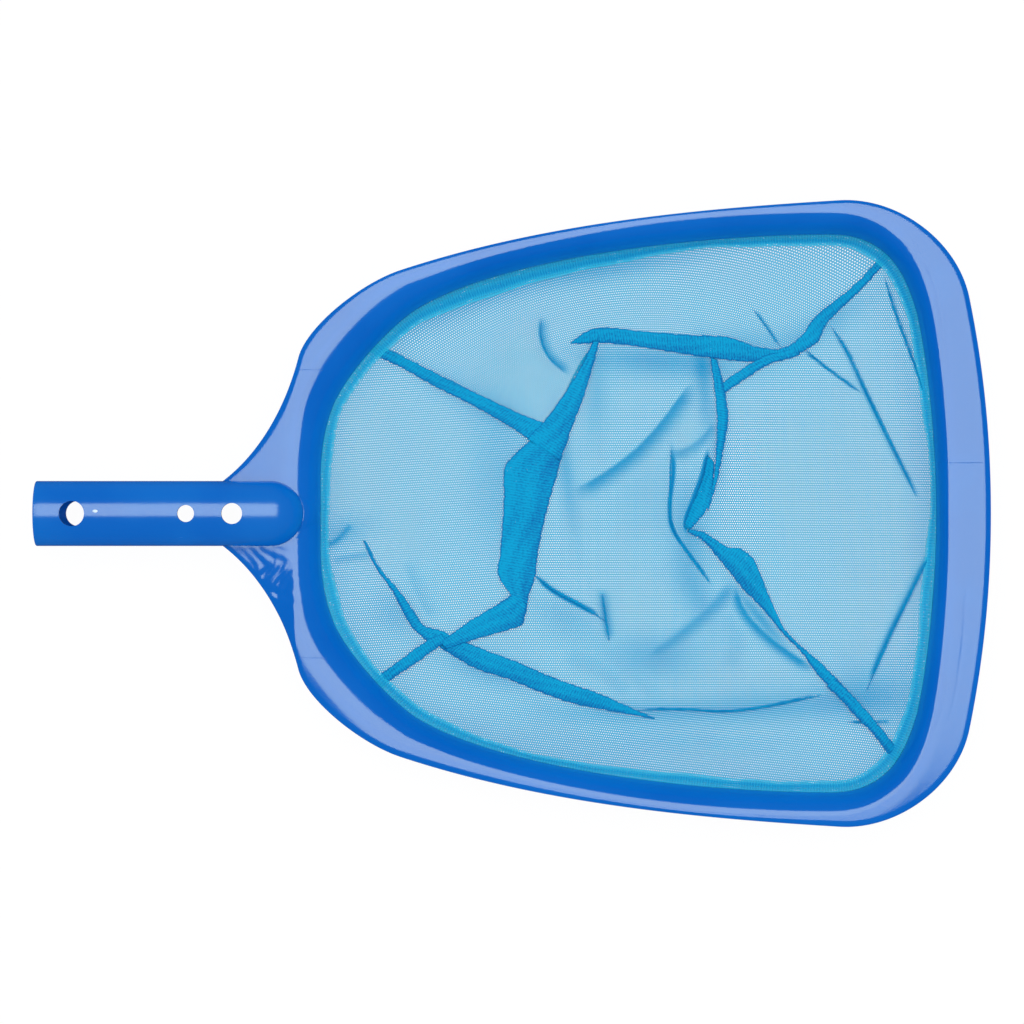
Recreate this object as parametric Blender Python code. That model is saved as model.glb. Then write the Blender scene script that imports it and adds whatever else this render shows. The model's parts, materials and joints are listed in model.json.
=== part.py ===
"""Leaf skimmer net: a moulded rim with its pole socket, a retaining ring and a sewn mesh bag.

The net lies flat on its retaining ring. +X runs from the socket to the far edge of the rim,
+Y is the left side seen from the socket, and the bag lies gathered inside the rim.
All lengths are in metres.
"""

import bmesh
import bpy
import numpy as np
from math import cos, pi, sin

# Pole socket: a tube along X that ends in a round nose over the rim
SOCKET_OPEN_END = -0.2205
SOCKET_NOSE = -0.1120
SOCKET_AXIS_HEIGHT = 0.020
SOCKET_RADIUS = 0.015
SOCKET_WALL = 0.0025
SOCKET_SIDES = 40
NOSE_RINGS = 7

# Cross holes for a pole clip: place along X, radius in the top wall, radius and shift in the lower wall
CLIP_HOLES = (
    (-0.2026, 0.0058, 0.0058, 0.0),
    (-0.1503, 0.0039, 0.0055, -0.0020),
    (-0.1292, 0.0048, 0.0065, -0.0025),
)
HOLE_SIDES = 24

# Rim section: a flange with a rolled outer lip, and a bell-shaped wall that runs down to its foot
CREST_HEIGHT = 0.021
FOOT_HEIGHT = 0.004
RIM_SKIN = 0.0022
LIP_DROP = 0.0034
LIP_ROUND = 0.0011
WALL_STEPS = 4

# One half of the rim, from the socket's side to the far edge, as pairs of cubic curves:
# the outer edge, the inner edge at the wall's foot, the wall's width at both ends, and the steps.
HALF_RIM = (
    # under the socket
    (((-0.1346, 0.0000), (-0.1346, 0.0050), (-0.1346, 0.0100), (-0.1346, 0.0150)),
     ((-0.0898, 0.0000), (-0.0898, 0.0054), (-0.0898, 0.0108), (-0.0898, 0.0162)),
     (0.0103, 0.0108), 3),
    # the web that flares from the socket
    (((-0.1346, 0.0150), (-0.1164, 0.0287), (-0.1050, 0.0505), (-0.0995, 0.0720)),
     ((-0.0898, 0.0162), (-0.0898, 0.0283), (-0.0880, 0.0404), (-0.0837, 0.0508)),
     (0.0108, 0.0122), 9),
    # the shoulder
    (((-0.0995, 0.0720), (-0.0958, 0.0864), (-0.0706, 0.1064), (-0.0524, 0.1124)),
     ((-0.0837, 0.0508), (-0.0792, 0.0616), (-0.0635, 0.0818), (-0.0465, 0.0942)),
     (0.0122, 0.0114), 8),
    # the long side
    (((-0.0524, 0.1124), (0.0130, 0.1340), (0.0833, 0.1407), (0.1506, 0.1447)),
     ((-0.0465, 0.0942), (-0.0064, 0.1200), (0.0923, 0.1301), (0.1485, 0.1298)),
     (0.0114, 0.0098), 9),
    # the far corner
    (((0.1506, 0.1447), (0.1774, 0.1463), (0.2052, 0.1262), (0.2106, 0.0995)),
     ((0.1485, 0.1298), (0.1775, 0.1296), (0.1839, 0.1062), (0.1879, 0.0929)),
     (0.0098, 0.0060), 9),
    # the far edge
    (((0.2106, 0.0995), (0.2174, 0.0661), (0.2205, 0.0344), (0.2205, 0.0000)),
     ((0.1879, 0.0929), (0.1929, 0.0707), (0.1968, 0.0333), (0.1968, 0.0000)),
     (0.0060, 0.0042), 6),
)

# Rings that hold the bag. An offset is measured outwards from the foot of the rim's wall.
SEAT_HEIGHT = 0.0025
RING_INNER, RING_OUTER = 0.0003, 0.0075
UPSTAND_INNER, UPSTAND_TOP = 0.0052, 0.009
HEM_INNER, HEM_OUTER = -0.0095, 0.0024
HEM_BOTTOM, HEM_TOP = 0.0028, 0.0037
CORD_OFFSET, CORD_HEIGHT, CORD_RADIUS, CORD_SIDES = 0.0038, 0.0039, 0.0010, 8

# The gathered bag: four walls between the hem and a four-cornered floor
CLOTH_THICKNESS = 0.0010
SEAM_WIDTH, SEAM_THICKNESS = 0.0026, 0.0014
CLEARANCE = 0.0003
HEM_SIDE_HEIGHT, FLOOR_HEIGHT, SLACK_HEIGHT = 0.0032, 0.0015, 0.0040
WALL_ROWS, WALL_COLUMNS = 7, 17
# The walls meet the seams askew, so they stop this many times further from them
ASKEW = 1.9
# For each corner of the bag, going round from the near left: its name, its place at the hem, its place on the floor
BAG_CORNERS = (
    ("near_left", (-0.0623, 0.0763), (0.0216, 0.0343)),
    ("far_left", (0.1709, 0.1173), (0.1312, 0.0763)),
    ("far_right", (0.1779, -0.1127), (0.1569, -0.0870)),
    ("near_right", (-0.0600, -0.0777), (-0.0344, -0.0590)),
)
BAG_SIDES = ("left", "far", "right", "near")

BLUE = (0.0, 0.155, 0.56)
TEAL = (0.01, 0.36, 0.66)
PALE_BLUE = (0.10, 0.42, 0.68)
SEAM_BLUE = (0.0, 0.23, 0.50)


def clear_scene():
    for obj in list(bpy.data.objects):
        bpy.data.objects.remove(obj)


def material(name, colour, roughness):
    """A Principled BSDF with the piece's colour; none of these pieces is metal."""
    made = bpy.data.materials.new(name)
    made.use_nodes = True
    shader = made.node_tree.nodes["Principled BSDF"]
    shader.inputs["Base Color"].default_value = (*colour, 1.0)
    shader.inputs["Roughness"].default_value = roughness
    shader.inputs["Metallic"].default_value = 0.0
    return made


def add_object(name, points, faces, finish=None, smooth_angle=None):
    """An object of this mesh, its normals turned outwards."""
    mesh = bpy.data.meshes.new(name)
    mesh.from_pydata([tuple(map(float, point)) for point in points], [], faces)
    shape = bmesh.new()
    shape.from_mesh(mesh)
    bmesh.ops.recalc_face_normals(shape, faces=shape.faces)
    shape.to_mesh(mesh)
    shape.free()
    obj = bpy.data.objects.new(name, mesh)
    bpy.context.scene.collection.objects.link(obj)
    if finish is not None:
        mesh.materials.append(finish)
    if smooth_angle is not None:
        mesh.shade_smooth()
        mesh.set_sharp_from_angle(angle=smooth_angle)
    return obj


def tool(obj):
    """Marks an operand of a Boolean, which is not itself a piece."""
    obj.hide_render = True
    obj.display_type = "WIRE"
    return obj


def boolean(obj, operation, operand):
    modifier = obj.modifiers.new(operand.name, "BOOLEAN")
    modifier.operation = operation
    modifier.solver = "EXACT"
    modifier.object = operand


def cubic(points, t):
    """A cubic Bezier curve through its first and last point, at each parameter in t."""
    p0, p1, p2, p3 = np.array(points)
    t = t[:, None]
    return (1 - t) ** 3 * p0 + 3 * (1 - t) ** 2 * t * p1 + 3 * (1 - t) * t**2 * p2 + t**3 * p3


def round_rim():
    """Outer edge, inner edge and wall width at each station round the whole rim."""
    outer, inner, width = [], [], []
    for outer_curve, inner_curve, wall, steps in HALF_RIM:
        t = np.arange(steps) / steps
        outer.append(cubic(outer_curve, t))
        inner.append(cubic(inner_curve, t))
        width.append(wall[0] + (wall[1] - wall[0]) * t)
    far_outer, far_inner, far_wall = HALF_RIM[-1][:3]
    outer = np.vstack([*outer, [far_outer[3]]])
    inner = np.vstack([*inner, [far_inner[3]]])
    width = np.append(np.concatenate(width), far_wall[1])
    other_side = np.array([1.0, -1.0])
    return (
        np.vstack([outer, outer[-2:0:-1] * other_side]),
        np.vstack([inner, inner[-2:0:-1] * other_side]),
        np.concatenate([width, width[-2:0:-1]]),
    )


def offset_loop(loop, distance):
    """The closed loop moved outwards by this distance, square to its own direction."""
    along = np.roll(loop, -1, axis=0) - np.roll(loop, 1, axis=0)
    along /= np.linalg.norm(along, axis=1)[:, None]
    outward = np.column_stack([-along[:, 1], along[:, 0]])
    return loop + outward * distance


def swept_ring(name, sections, finish, smooth_angle):
    """A closed ring whose section at each station is one row of points in sections[station]."""
    stations, corners = sections.shape[:2]
    faces = [
        (
            s * corners + c,
            s * corners + (c + 1) % corners,
            (s + 1) % stations * corners + (c + 1) % corners,
            (s + 1) % stations * corners + c,
        )
        for s in range(stations)
        for c in range(corners)
    ]
    return add_object(name, sections.reshape(-1, 3), faces, finish, smooth_angle)


def rim_section(outer, inner, wall):
    """The rim's section at one station, as distances from the inner edge and heights.

    The top runs from the lip over a level flange to the wall, a quarter of an ellipse down to its foot.
    The underside is the same line, one skin further in.
    """
    band = np.linalg.norm(outer - inner)
    arc = np.linspace(0, pi / 2, WALL_STEPS + 1)
    drop = CREST_HEIGHT - FOOT_HEIGHT
    top = [
        (band, CREST_HEIGHT - LIP_DROP),
        (band, CREST_HEIGHT - LIP_ROUND),
        (band - LIP_ROUND * 0.3, CREST_HEIGHT - LIP_ROUND * 0.3),
        (band - LIP_ROUND, CREST_HEIGHT),
    ]
    top += [(wall * (1 - sin(a)), FOOT_HEIGHT + drop * cos(a)) for a in arc]
    under_wall, under_drop = wall, drop - RIM_SKIN
    under = [(RIM_SKIN + under_wall * (1 - sin(a)), FOOT_HEIGHT + under_drop * cos(a)) for a in arc[::-1]]
    under[-1] = (min(under[-1][0], band - RIM_SKIN - LIP_ROUND), under[-1][1])
    under += [
        (band - RIM_SKIN, CREST_HEIGHT - RIM_SKIN),
        (band - RIM_SKIN, CREST_HEIGHT - LIP_DROP),
    ]
    return np.array(top + under)


def make_rim(finish):
    """The flange, lip and wall as one swept ring."""
    rings = []
    for outer, inner, wall in zip(*round_rim()):
        section = rim_section(outer, inner, wall)
        across = (outer - inner) / np.linalg.norm(outer - inner)
        plan = inner + section[:, :1] * across
        rings.append(np.column_stack([plan, section[:, 1]]))
    return swept_ring("rim_frame", np.array(rings), finish, pi / 5)


def turned_about_x(name, profile, height, sides):
    """A solid turned about a line along X: profile is (x, radius), and both its ends lie on the line."""
    turn = 2 * pi * np.arange(sides) / sides
    points = [(profile[0][0], 0.0, height)]
    for x, radius in profile[1:-1]:
        points += [(x, radius * cos(a), height + radius * sin(a)) for a in turn]
    points.append((profile[-1][0], 0.0, height))
    rings = len(profile) - 2
    faces = []
    for side in range(sides):
        after = (side + 1) % sides
        faces.append((0, 1 + side, 1 + after))
        for ring in range(rings - 1):
            low, high = 1 + ring * sides, 1 + (ring + 1) * sides
            faces.append((low + side, high + side, high + after, low + after))
        last = 1 + (rings - 1) * sides
        faces.append((last + side, len(points) - 1, last + after))
    return add_object(name, points, faces)


def round_nosed(name, start, radius):
    """A rod from start to the nose, where it ends in half a ball."""
    arc = np.linspace(0, pi / 2, NOSE_RINGS + 1)
    nose = [(SOCKET_NOSE + radius * sin(a), radius * cos(a)) for a in arc[:-1]]
    profile = [(start, 0.0), (start, radius), *nose, (SOCKET_NOSE + radius, 0.0)]
    return turned_about_x(name, profile, SOCKET_AXIS_HEIGHT, SOCKET_SIDES)


def upright_rod(name, x, radius, bottom, top):
    turn = 2 * pi * np.arange(HOLE_SIDES) / HOLE_SIDES
    points = [(x + radius * cos(a), radius * sin(a), z) for z in (bottom, top) for a in turn]
    faces = [
        (side, (side + 1) % HOLE_SIDES, HOLE_SIDES + (side + 1) % HOLE_SIDES, HOLE_SIDES + side)
        for side in range(HOLE_SIDES)
    ]
    faces += [tuple(range(HOLE_SIDES)), tuple(range(HOLE_SIDES, 2 * HOLE_SIDES))]
    return add_object(name, points, faces)


def make_rim_frame(finish):
    """The whole moulding: the rim, joined to the socket, with the blind bore and the clip holes cut."""
    frame = make_rim(finish)
    boolean(frame, "UNION", tool(round_nosed("socket_form", SOCKET_OPEN_END, SOCKET_RADIUS)))
    past_end = SOCKET_OPEN_END - SOCKET_RADIUS
    boolean(frame, "DIFFERENCE", tool(round_nosed("bore", past_end, SOCKET_RADIUS - SOCKET_WALL)))
    past_wall = 2 * SOCKET_WALL
    top = SOCKET_AXIS_HEIGHT + SOCKET_RADIUS + past_wall
    bottom = SOCKET_AXIS_HEIGHT - SOCKET_RADIUS - past_wall
    for number, (x, top_radius, low_radius, low_shift) in enumerate(CLIP_HOLES, start=1):
        upper = upright_rod(f"clip_hole_{number}_top", x, top_radius, SOCKET_AXIS_HEIGHT, top)
        lower = upright_rod(f"clip_hole_{number}_low", x + low_shift, low_radius, bottom, SOCKET_AXIS_HEIGHT)
        boolean(frame, "DIFFERENCE", tool(upper))
        boolean(frame, "DIFFERENCE", tool(lower))


def ring_on_foot(name, section, finish, smooth_angle):
    """A ring of one constant section: (offset from the wall's foot, height) for each corner."""
    inner = round_rim()[1]
    loops = [np.column_stack([offset_loop(inner, o), np.full(len(inner), z)]) for o, z in section]
    return swept_ring(name, np.stack(loops, axis=1), finish, smooth_angle)


def make_retaining_ring(finish):
    """The lower ring, an L in section: the hem is pinched on its seat, and its upstand closes the cord's groove."""
    section = (
        (RING_INNER, 0.0),
        (RING_OUTER, 0.0),
        (RING_OUTER, UPSTAND_TOP),
        (UPSTAND_INNER, UPSTAND_TOP),
        (UPSTAND_INNER, SEAT_HEIGHT),
        (RING_INNER, SEAT_HEIGHT),
    )
    ring_on_foot("retaining_ring", section, finish, pi / 6)


def make_hem(band_finish, cord_finish):
    """The doubled hem, pinched under the wall's foot, and the cord that keeps it from pulling out."""
    band = (
        (HEM_INNER, HEM_BOTTOM),
        (HEM_OUTER, HEM_BOTTOM),
        (HEM_OUTER, HEM_TOP),
        (HEM_INNER, HEM_TOP),
    )
    ring_on_foot("hem_band", band, band_finish, pi / 6)
    turn = 2 * pi * np.arange(CORD_SIDES) / CORD_SIDES
    cord = [(CORD_OFFSET + CORD_RADIUS * cos(a), CORD_HEIGHT + CORD_RADIUS * sin(a)) for a in turn]
    ring_on_foot("hem_cord", cord, cord_finish, pi / 3)


def evenly_along(line, count, inset):
    """Points at even steps along a line, leaving out this length at both of its ends."""
    steps = np.linalg.norm(np.diff(line, axis=0), axis=1)
    run = np.concatenate([[0.0], np.cumsum(steps)])
    places = np.linspace(inset, run[-1] - inset, count)
    return np.column_stack([np.interp(places, run, line[:, axis]) for axis in range(line.shape[1])])


def wall_height(down):
    """Height of the cloth's middle: hem at 0, floor at 1, with the slack standing up between them."""
    return HEM_SIDE_HEIGHT + (FLOOR_HEIGHT - HEM_SIDE_HEIGHT) * down + SLACK_HEIGHT * np.sin(pi * down) ** 2


def slab(name, grid, thickness, finish):
    """A closed sheet of this thickness, half above and half below a grid of points."""
    rows, columns = grid.shape[:2]
    lift = np.array([0.0, 0.0, thickness / 2])
    points = np.vstack([(grid - lift).reshape(-1, 3), (grid + lift).reshape(-1, 3)])
    size = rows * columns
    faces = []
    for r in range(rows - 1):
        for c in range(columns - 1):
            low = (r * columns + c, r * columns + c + 1, (r + 1) * columns + c + 1, (r + 1) * columns + c)
            faces += [low[::-1], tuple(corner + size for corner in low)]
    edge = [c for c in range(columns)]
    edge += [r * columns + columns - 1 for r in range(1, rows)]
    edge += [(rows - 1) * columns + c for c in range(columns - 2, -1, -1)]
    edge += [r * columns for r in range(rows - 2, 0, -1)]
    for here, after in zip(edge, edge[1:] + edge[:1]):
        faces.append((here, after, after + size, here + size))
    add_object(name, points, faces, finish)


def strip(name, line, finish):
    """A flat sewn seam: the line widened to both sides in plan, and given the seam's thickness."""
    along = np.gradient(line, axis=0)[:, :2]
    along /= np.linalg.norm(along, axis=1)[:, None]
    side = np.column_stack([-along[:, 1], along[:, 0], np.zeros(len(line))]) * SEAM_WIDTH / 2
    slab(name, np.stack([line - side, line + side], axis=1), SEAM_THICKNESS, finish)


def hem_stations():
    """The line where the walls leave the hem, and the station on it nearest to each corner of the bag."""
    line = offset_loop(round_rim()[1], HEM_INNER - CLEARANCE)
    nearest = [int(np.argmin(np.linalg.norm(line - np.array(at_hem), axis=1))) for _, at_hem, _ in BAG_CORNERS]
    return line, nearest


def make_bag(cloth, seam):
    """Each wall runs from the hem to one edge of the floor, with a seam along each join."""
    hem, station = hem_stations()
    floor = [np.array(at_floor) for _, _, at_floor in BAG_CORNERS]
    inset = SEAM_WIDTH / 2 + CLEARANCE
    down = np.linspace(0.0, 1.0, WALL_ROWS)
    for number, side in enumerate(BAG_SIDES):
        after = (number + 1) % len(BAG_SIDES)
        first, last = station[number], station[after]
        last += len(hem) if last < first else 0
        top = evenly_along(hem[np.arange(first, last + 1) % len(hem)], WALL_COLUMNS, 0.0)
        foot = evenly_along(np.array([floor[number], floor[after]]), WALL_COLUMNS, 0.0)
        reach = 1.0 - ASKEW * inset / np.linalg.norm(top - foot, axis=1).min()
        rows = []
        for share in down:
            row = top + (foot - top) * share * reach
            row = evenly_along(row, WALL_COLUMNS, ASKEW * inset)
            rows.append(np.column_stack([row, np.full(WALL_COLUMNS, wall_height(share))]))
        slab(f"bag_{side}_wall", np.array(rows), CLOTH_THICKNESS, cloth)
        ends = evenly_along(np.array([floor[number], floor[after]]), 3, 2 * SEAM_WIDTH)
        strip(f"floor_seam_{side}", np.column_stack([ends, np.full(3, FLOOR_HEIGHT)]), seam)
    for (name, _, at_floor), at in zip(BAG_CORNERS, station):
        line = evenly_along(np.array([hem[at], at_floor]), WALL_ROWS, SEAM_WIDTH / 2)
        strip(f"corner_seam_{name}", np.column_stack([line, wall_height(down)]), seam)
    make_floor(floor, 2 * inset, cloth)


def make_floor(corners, inset, finish):
    """The bag's floor: its four corners drawn in towards the middle, clear of the seams round it."""
    middle = np.mean(corners, axis=0)
    drawn = [corner + (middle - corner) * inset / np.abs(middle - corner).min() for corner in corners]
    grid = np.array([[drawn[0], drawn[1]], [drawn[3], drawn[2]]])
    slab("bag_floor", np.dstack([grid, np.full((2, 2), FLOOR_HEIGHT)]), CLOTH_THICKNESS, finish)


def main():
    clear_scene()
    plastic = material("blue_plastic", BLUE, 0.22)
    make_rim_frame(plastic)
    make_retaining_ring(material("ring_plastic", BLUE, 0.3))
    make_hem(material("hem_cloth", TEAL, 0.8), material("cord_cloth", TEAL, 0.8))
    make_bag(material("bag_mesh", PALE_BLUE, 0.8), material("seam_cloth", SEAM_BLUE, 0.8))


main()
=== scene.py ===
# %% [markdown]
# # A leaf skimmer net
# A leaf skimmer is a blue plastic rim with a pole socket, and a mesh bag held in the rim by its hem.
# The solid model is already packed as a frame, so this script only gives it its looks: every new piece
# is a surface worked out with numpy in the same metres, and it replaces the plain solid of its name.

# %% Load the frame
import json
from math import pi

import bmesh
import bpy
import numpy as np
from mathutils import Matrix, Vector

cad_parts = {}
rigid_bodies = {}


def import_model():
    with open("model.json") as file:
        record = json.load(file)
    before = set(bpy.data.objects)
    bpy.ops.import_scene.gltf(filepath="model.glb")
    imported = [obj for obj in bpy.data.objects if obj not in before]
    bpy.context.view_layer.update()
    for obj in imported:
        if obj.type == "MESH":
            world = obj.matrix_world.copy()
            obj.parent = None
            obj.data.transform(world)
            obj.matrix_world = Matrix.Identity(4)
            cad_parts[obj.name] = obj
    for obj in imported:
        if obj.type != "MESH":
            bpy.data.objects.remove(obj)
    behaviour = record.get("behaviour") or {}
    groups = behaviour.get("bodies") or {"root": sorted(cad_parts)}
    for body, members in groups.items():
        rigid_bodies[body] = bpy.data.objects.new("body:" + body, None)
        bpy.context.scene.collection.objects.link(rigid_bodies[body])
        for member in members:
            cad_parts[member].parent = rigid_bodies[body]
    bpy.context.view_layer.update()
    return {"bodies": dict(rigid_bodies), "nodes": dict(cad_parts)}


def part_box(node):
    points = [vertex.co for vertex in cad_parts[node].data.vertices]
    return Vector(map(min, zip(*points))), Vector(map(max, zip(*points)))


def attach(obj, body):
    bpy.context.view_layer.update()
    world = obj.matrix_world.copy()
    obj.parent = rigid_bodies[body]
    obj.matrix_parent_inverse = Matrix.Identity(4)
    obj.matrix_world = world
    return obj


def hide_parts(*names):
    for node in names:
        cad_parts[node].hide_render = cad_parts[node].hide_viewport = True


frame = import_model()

BODY = list(frame["bodies"])[0]
print("frame:", len(frame["nodes"]), "nodes on body", BODY)

# %% Read the driving sizes from the frame
rim_low, rim_high = (np.array(corner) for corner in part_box("rim_frame"))
RING_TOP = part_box("retaining_ring")[1][2]
SOCKET_RADIUS = 0.015
SOCKET_WALL = 0.0025
SOCKET_AXIS = rim_high[2] - SOCKET_RADIUS
OPEN_END = rim_low[0]
NOSE_CENTRE = -0.1120
FOOT_HEIGHT = rim_low[2]
CREST_HEIGHT = FOOT_HEIGHT + 0.017
print("socket axis at", round(float(SOCKET_AXIS), 4), "rim foot at", round(float(FOOT_HEIGHT), 4))

# %% [markdown]
# ## Studio
# The net lies on a white table under one large soft light that hangs above it and a little to its left.
# Glossy plastic shows what stands around it, so the one big light is what draws the pale band along the
# socket and the pale flange. A table that glows a little keeps the gaps in the mesh white.

# %% Camera straight above
CAMERA_HEIGHT = 1.8
VIEW_WIDTH = 0.4726
VIEW_CENTRE = (-0.00077, 0.00069)
SENSOR = 36.0


def add_camera():
    """A camera looking straight down, with a lens that just takes in VIEW_WIDTH at the rim's crest."""
    camera = bpy.data.cameras.new("overhead")
    camera.sensor_width = SENSOR
    camera.lens = SENSOR * (CAMERA_HEIGHT - CREST_HEIGHT) / VIEW_WIDTH
    camera.clip_start = 0.05
    camera.clip_end = 50.0
    holder = bpy.data.objects.new("overhead", camera)
    holder.location = (*VIEW_CENTRE, CAMERA_HEIGHT)
    bpy.context.scene.collection.objects.link(holder)
    bpy.context.scene.camera = holder
    print("lens", round(camera.lens, 1), "mm")


add_camera()
bpy.context.scene.view_settings.view_transform = "Standard"

# %% Mesh and node helpers


def surface(name, grid, around=False, along=False, uv=None, values=None, facing="out"):
    """A mesh from a grid of points, one quad between each four neighbours.

    around closes each row on itself and along closes the rows; uv then has one more column or row.
    facing says where the faces look: out of a closed shape, or up.
    """
    rows, columns = grid.shape[:2]
    row, column = np.meshgrid(
        np.arange(rows if along else rows - 1), np.arange(columns if around else columns - 1), indexing="ij"
    )
    next_row, next_column = (row + 1) % rows, (column + 1) % columns
    quads = np.stack(
        [row * columns + column, row * columns + next_column,
         next_row * columns + next_column, next_row * columns + column], axis=-1
    ).reshape(-1, 4)
    wide = columns + around
    uv_quads = np.stack(
        [row * wide + column, row * wide + column + 1,
         (row + 1) * wide + column + 1, (row + 1) * wide + column], axis=-1
    ).reshape(-1, 4)
    points = grid.reshape(-1, 3)
    a, b, c, d = (points[quads[:, k]] for k in range(4))
    area = np.cross(c - a, d - b) / 2
    outward = area[:, 2].sum() if facing == "up" else ((a + b + c + d) * area).sum()
    if outward < 0:
        quads, uv_quads = quads[:, ::-1], uv_quads[:, ::-1]
    mesh = bpy.data.meshes.new(name)
    mesh.vertices.add(len(points))
    mesh.vertices.foreach_set("co", points.astype(np.float32).ravel())
    mesh.loops.add(quads.size)
    mesh.loops.foreach_set("vertex_index", quads.astype(np.int32).ravel())
    mesh.polygons.add(len(quads))
    mesh.polygons.foreach_set("loop_start", np.arange(0, quads.size, 4, dtype=np.int32))
    mesh.polygons.foreach_set("use_smooth", np.ones(len(quads), dtype=bool))
    mesh.update(calc_edges=True)
    if uv is not None:
        layer = mesh.uv_layers.new(name="cloth")
        layer.data.foreach_set("uv", uv.reshape(-1, 2)[uv_quads.ravel()].astype(np.float32).ravel())
    for label, value in (values or {}).items():
        attribute = mesh.attributes.new(label, "FLOAT", "POINT")
        attribute.data.foreach_set("value", value.astype(np.float32).ravel())
    piece = bpy.data.objects.new(name, mesh)
    bpy.context.scene.collection.objects.link(piece)
    return piece


def weld(piece, distance=1e-6):
    """Merges the points that meet at a pole or a pinched end."""
    shape = bmesh.new()
    shape.from_mesh(piece.data)
    bmesh.ops.remove_doubles(shape, verts=shape.verts, dist=distance)
    bmesh.ops.dissolve_degenerate(shape, edges=shape.edges, dist=distance)
    shape.to_mesh(piece.data)
    shape.free()


def finish_piece(piece, finish, slot, *nodes):
    """Gives a piece its material, lets it ride on the body and stand for these nodes. The slot is not used.
    """
    piece.data.materials.clear()
    piece.data.materials.append(finish)
    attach(piece, BODY)
    if nodes:
        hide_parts(*nodes)
    print(piece.name, len(piece.data.polygons), "faces")


def cubic(points, t):
    """A cubic Bezier curve: (1-t)^3 P0 + 3 (1-t)^2 t P1 + 3 (1-t) t^2 P2 + t^3 P3."""
    p0, p1, p2, p3 = np.array(points)
    t = t[:, None]
    return (1 - t) ** 3 * p0 + 3 * (1 - t) ** 2 * t * p1 + 3 * (1 - t) * t**2 * p2 + t**3 * p3


def running_length(line):
    """The length of a line from its start to each of its points."""
    return np.concatenate([[0.0], np.cumsum(np.linalg.norm(np.diff(line, axis=0), axis=1))])


def evenly(line, count):
    """The same line with its points at even steps of its own length."""
    run = running_length(line)
    places = np.linspace(0.0, run[-1], count)
    return np.column_stack([np.interp(places, run, line[:, k]) for k in range(line.shape[1])])


def through(points, count, fineness=24):
    """A smooth line through given points: Catmull-Rom between each pair, then evenly spaced."""
    points = np.array(points, dtype=float)
    padded = np.vstack([2 * points[0] - points[1], points, 2 * points[-1] - points[-2]])
    t = (np.arange(fineness) / fineness)[:, None]
    parts = []
    for k in range(len(points) - 1):
        a, b, c, d = padded[k : k + 4]
        parts.append(b + 0.5 * t * (c - a + t * (2 * a - 5 * b + 4 * c - d + t * (3 * b - a + d - 3 * c))))
    return evenly(np.vstack([*parts, points[-1:]]), count)


def closest(points, line):
    """Distance from each point to a finely stepped line, and the nearest place's share of its length."""
    gap = points[:, None, :] - line[None, :, :]
    square = (gap**2).sum(axis=2)
    index = square.argmin(axis=1)
    return np.sqrt(square[np.arange(len(points)), index]), index / (len(line) - 1)


# %% [markdown]
# ## Node groups
# Two effects are used by more than one finish, so each is a node group with its own inputs: the faint
# marks that moulding leaves on plastic, and the holes of the knitted net. The fuzz of its yarn is part of
# the cloth finish.

# %% Node group helpers


class Tree:
    """A node tree with short calls for its nodes and links."""

    def __init__(self, tree):
        self.tree = tree

    def node(self, kind, settings=None, **inputs):
        """A new node with these settings; each input is a number or another node's output."""
        made = self.tree.nodes.new(kind)
        for key, value in (settings or {}).items():
            setattr(made, key, value)
        for key, value in inputs.items():
            self.feed(made.inputs[key.replace("_", " ")], value)
        return made

    def feed(self, socket, value):
        if isinstance(value, bpy.types.NodeSocket):
            self.tree.links.new(value, socket)
        else:
            socket.default_value = value

    def math(self, operation, *values):
        made = self.tree.nodes.new("ShaderNodeMath")
        made.operation = operation
        for socket, value in zip(made.inputs, values):
            self.feed(socket, value)
        return made.outputs[0]

    def ramp(self, value, low, high, to_low=0.0, to_high=1.0):
        """A smooth step: to_low below low, to_high above high."""
        made = self.node("ShaderNodeMapRange", {"interpolation_type": "SMOOTHSTEP"}, Value=value)
        for socket, number in zip(list(made.inputs)[1:5], (low, high, to_low, to_high)):
            self.feed(socket, number)
        return made.outputs["Result"]

    def noise(self, vector, scale, detail=2.0, roughness=0.5):
        made = self.node("ShaderNodeTexNoise", None, Vector=vector, Scale=scale, Detail=detail,
                         Roughness=roughness)
        return made.outputs["Fac"]

    def blend(self, factor, first, second):
        """The first colour where the factor is 0 and the second where it is 1."""
        made = self.node("ShaderNodeMix", {"data_type": "RGBA"})
        self.feed(made.inputs[0], factor)
        for socket, value in zip((made.inputs[6], made.inputs[7]), (first, second)):
            self.feed(socket, value if isinstance(value, bpy.types.NodeSocket) else (*value, 1.0))
        return made.outputs[2]


def new_group(name, inputs, outputs):
    """An empty shader node group with these sockets, its group input and its group output."""
    tree = bpy.data.node_groups.new(name, "ShaderNodeTree")
    for label, kind, value in inputs:
        socket = tree.interface.new_socket(label, in_out="INPUT", socket_type=kind)
        if value is not None:
            socket.default_value = value
    for label, kind in outputs:
        tree.interface.new_socket(label, in_out="OUTPUT", socket_type=kind)
    make = Tree(tree)
    return make, tree.nodes.new("NodeGroupInput"), tree.nodes.new("NodeGroupOutput")


VECTOR, FLOAT = "NodeSocketVector", "NodeSocketFloat"

# %% Moulding marks


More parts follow.
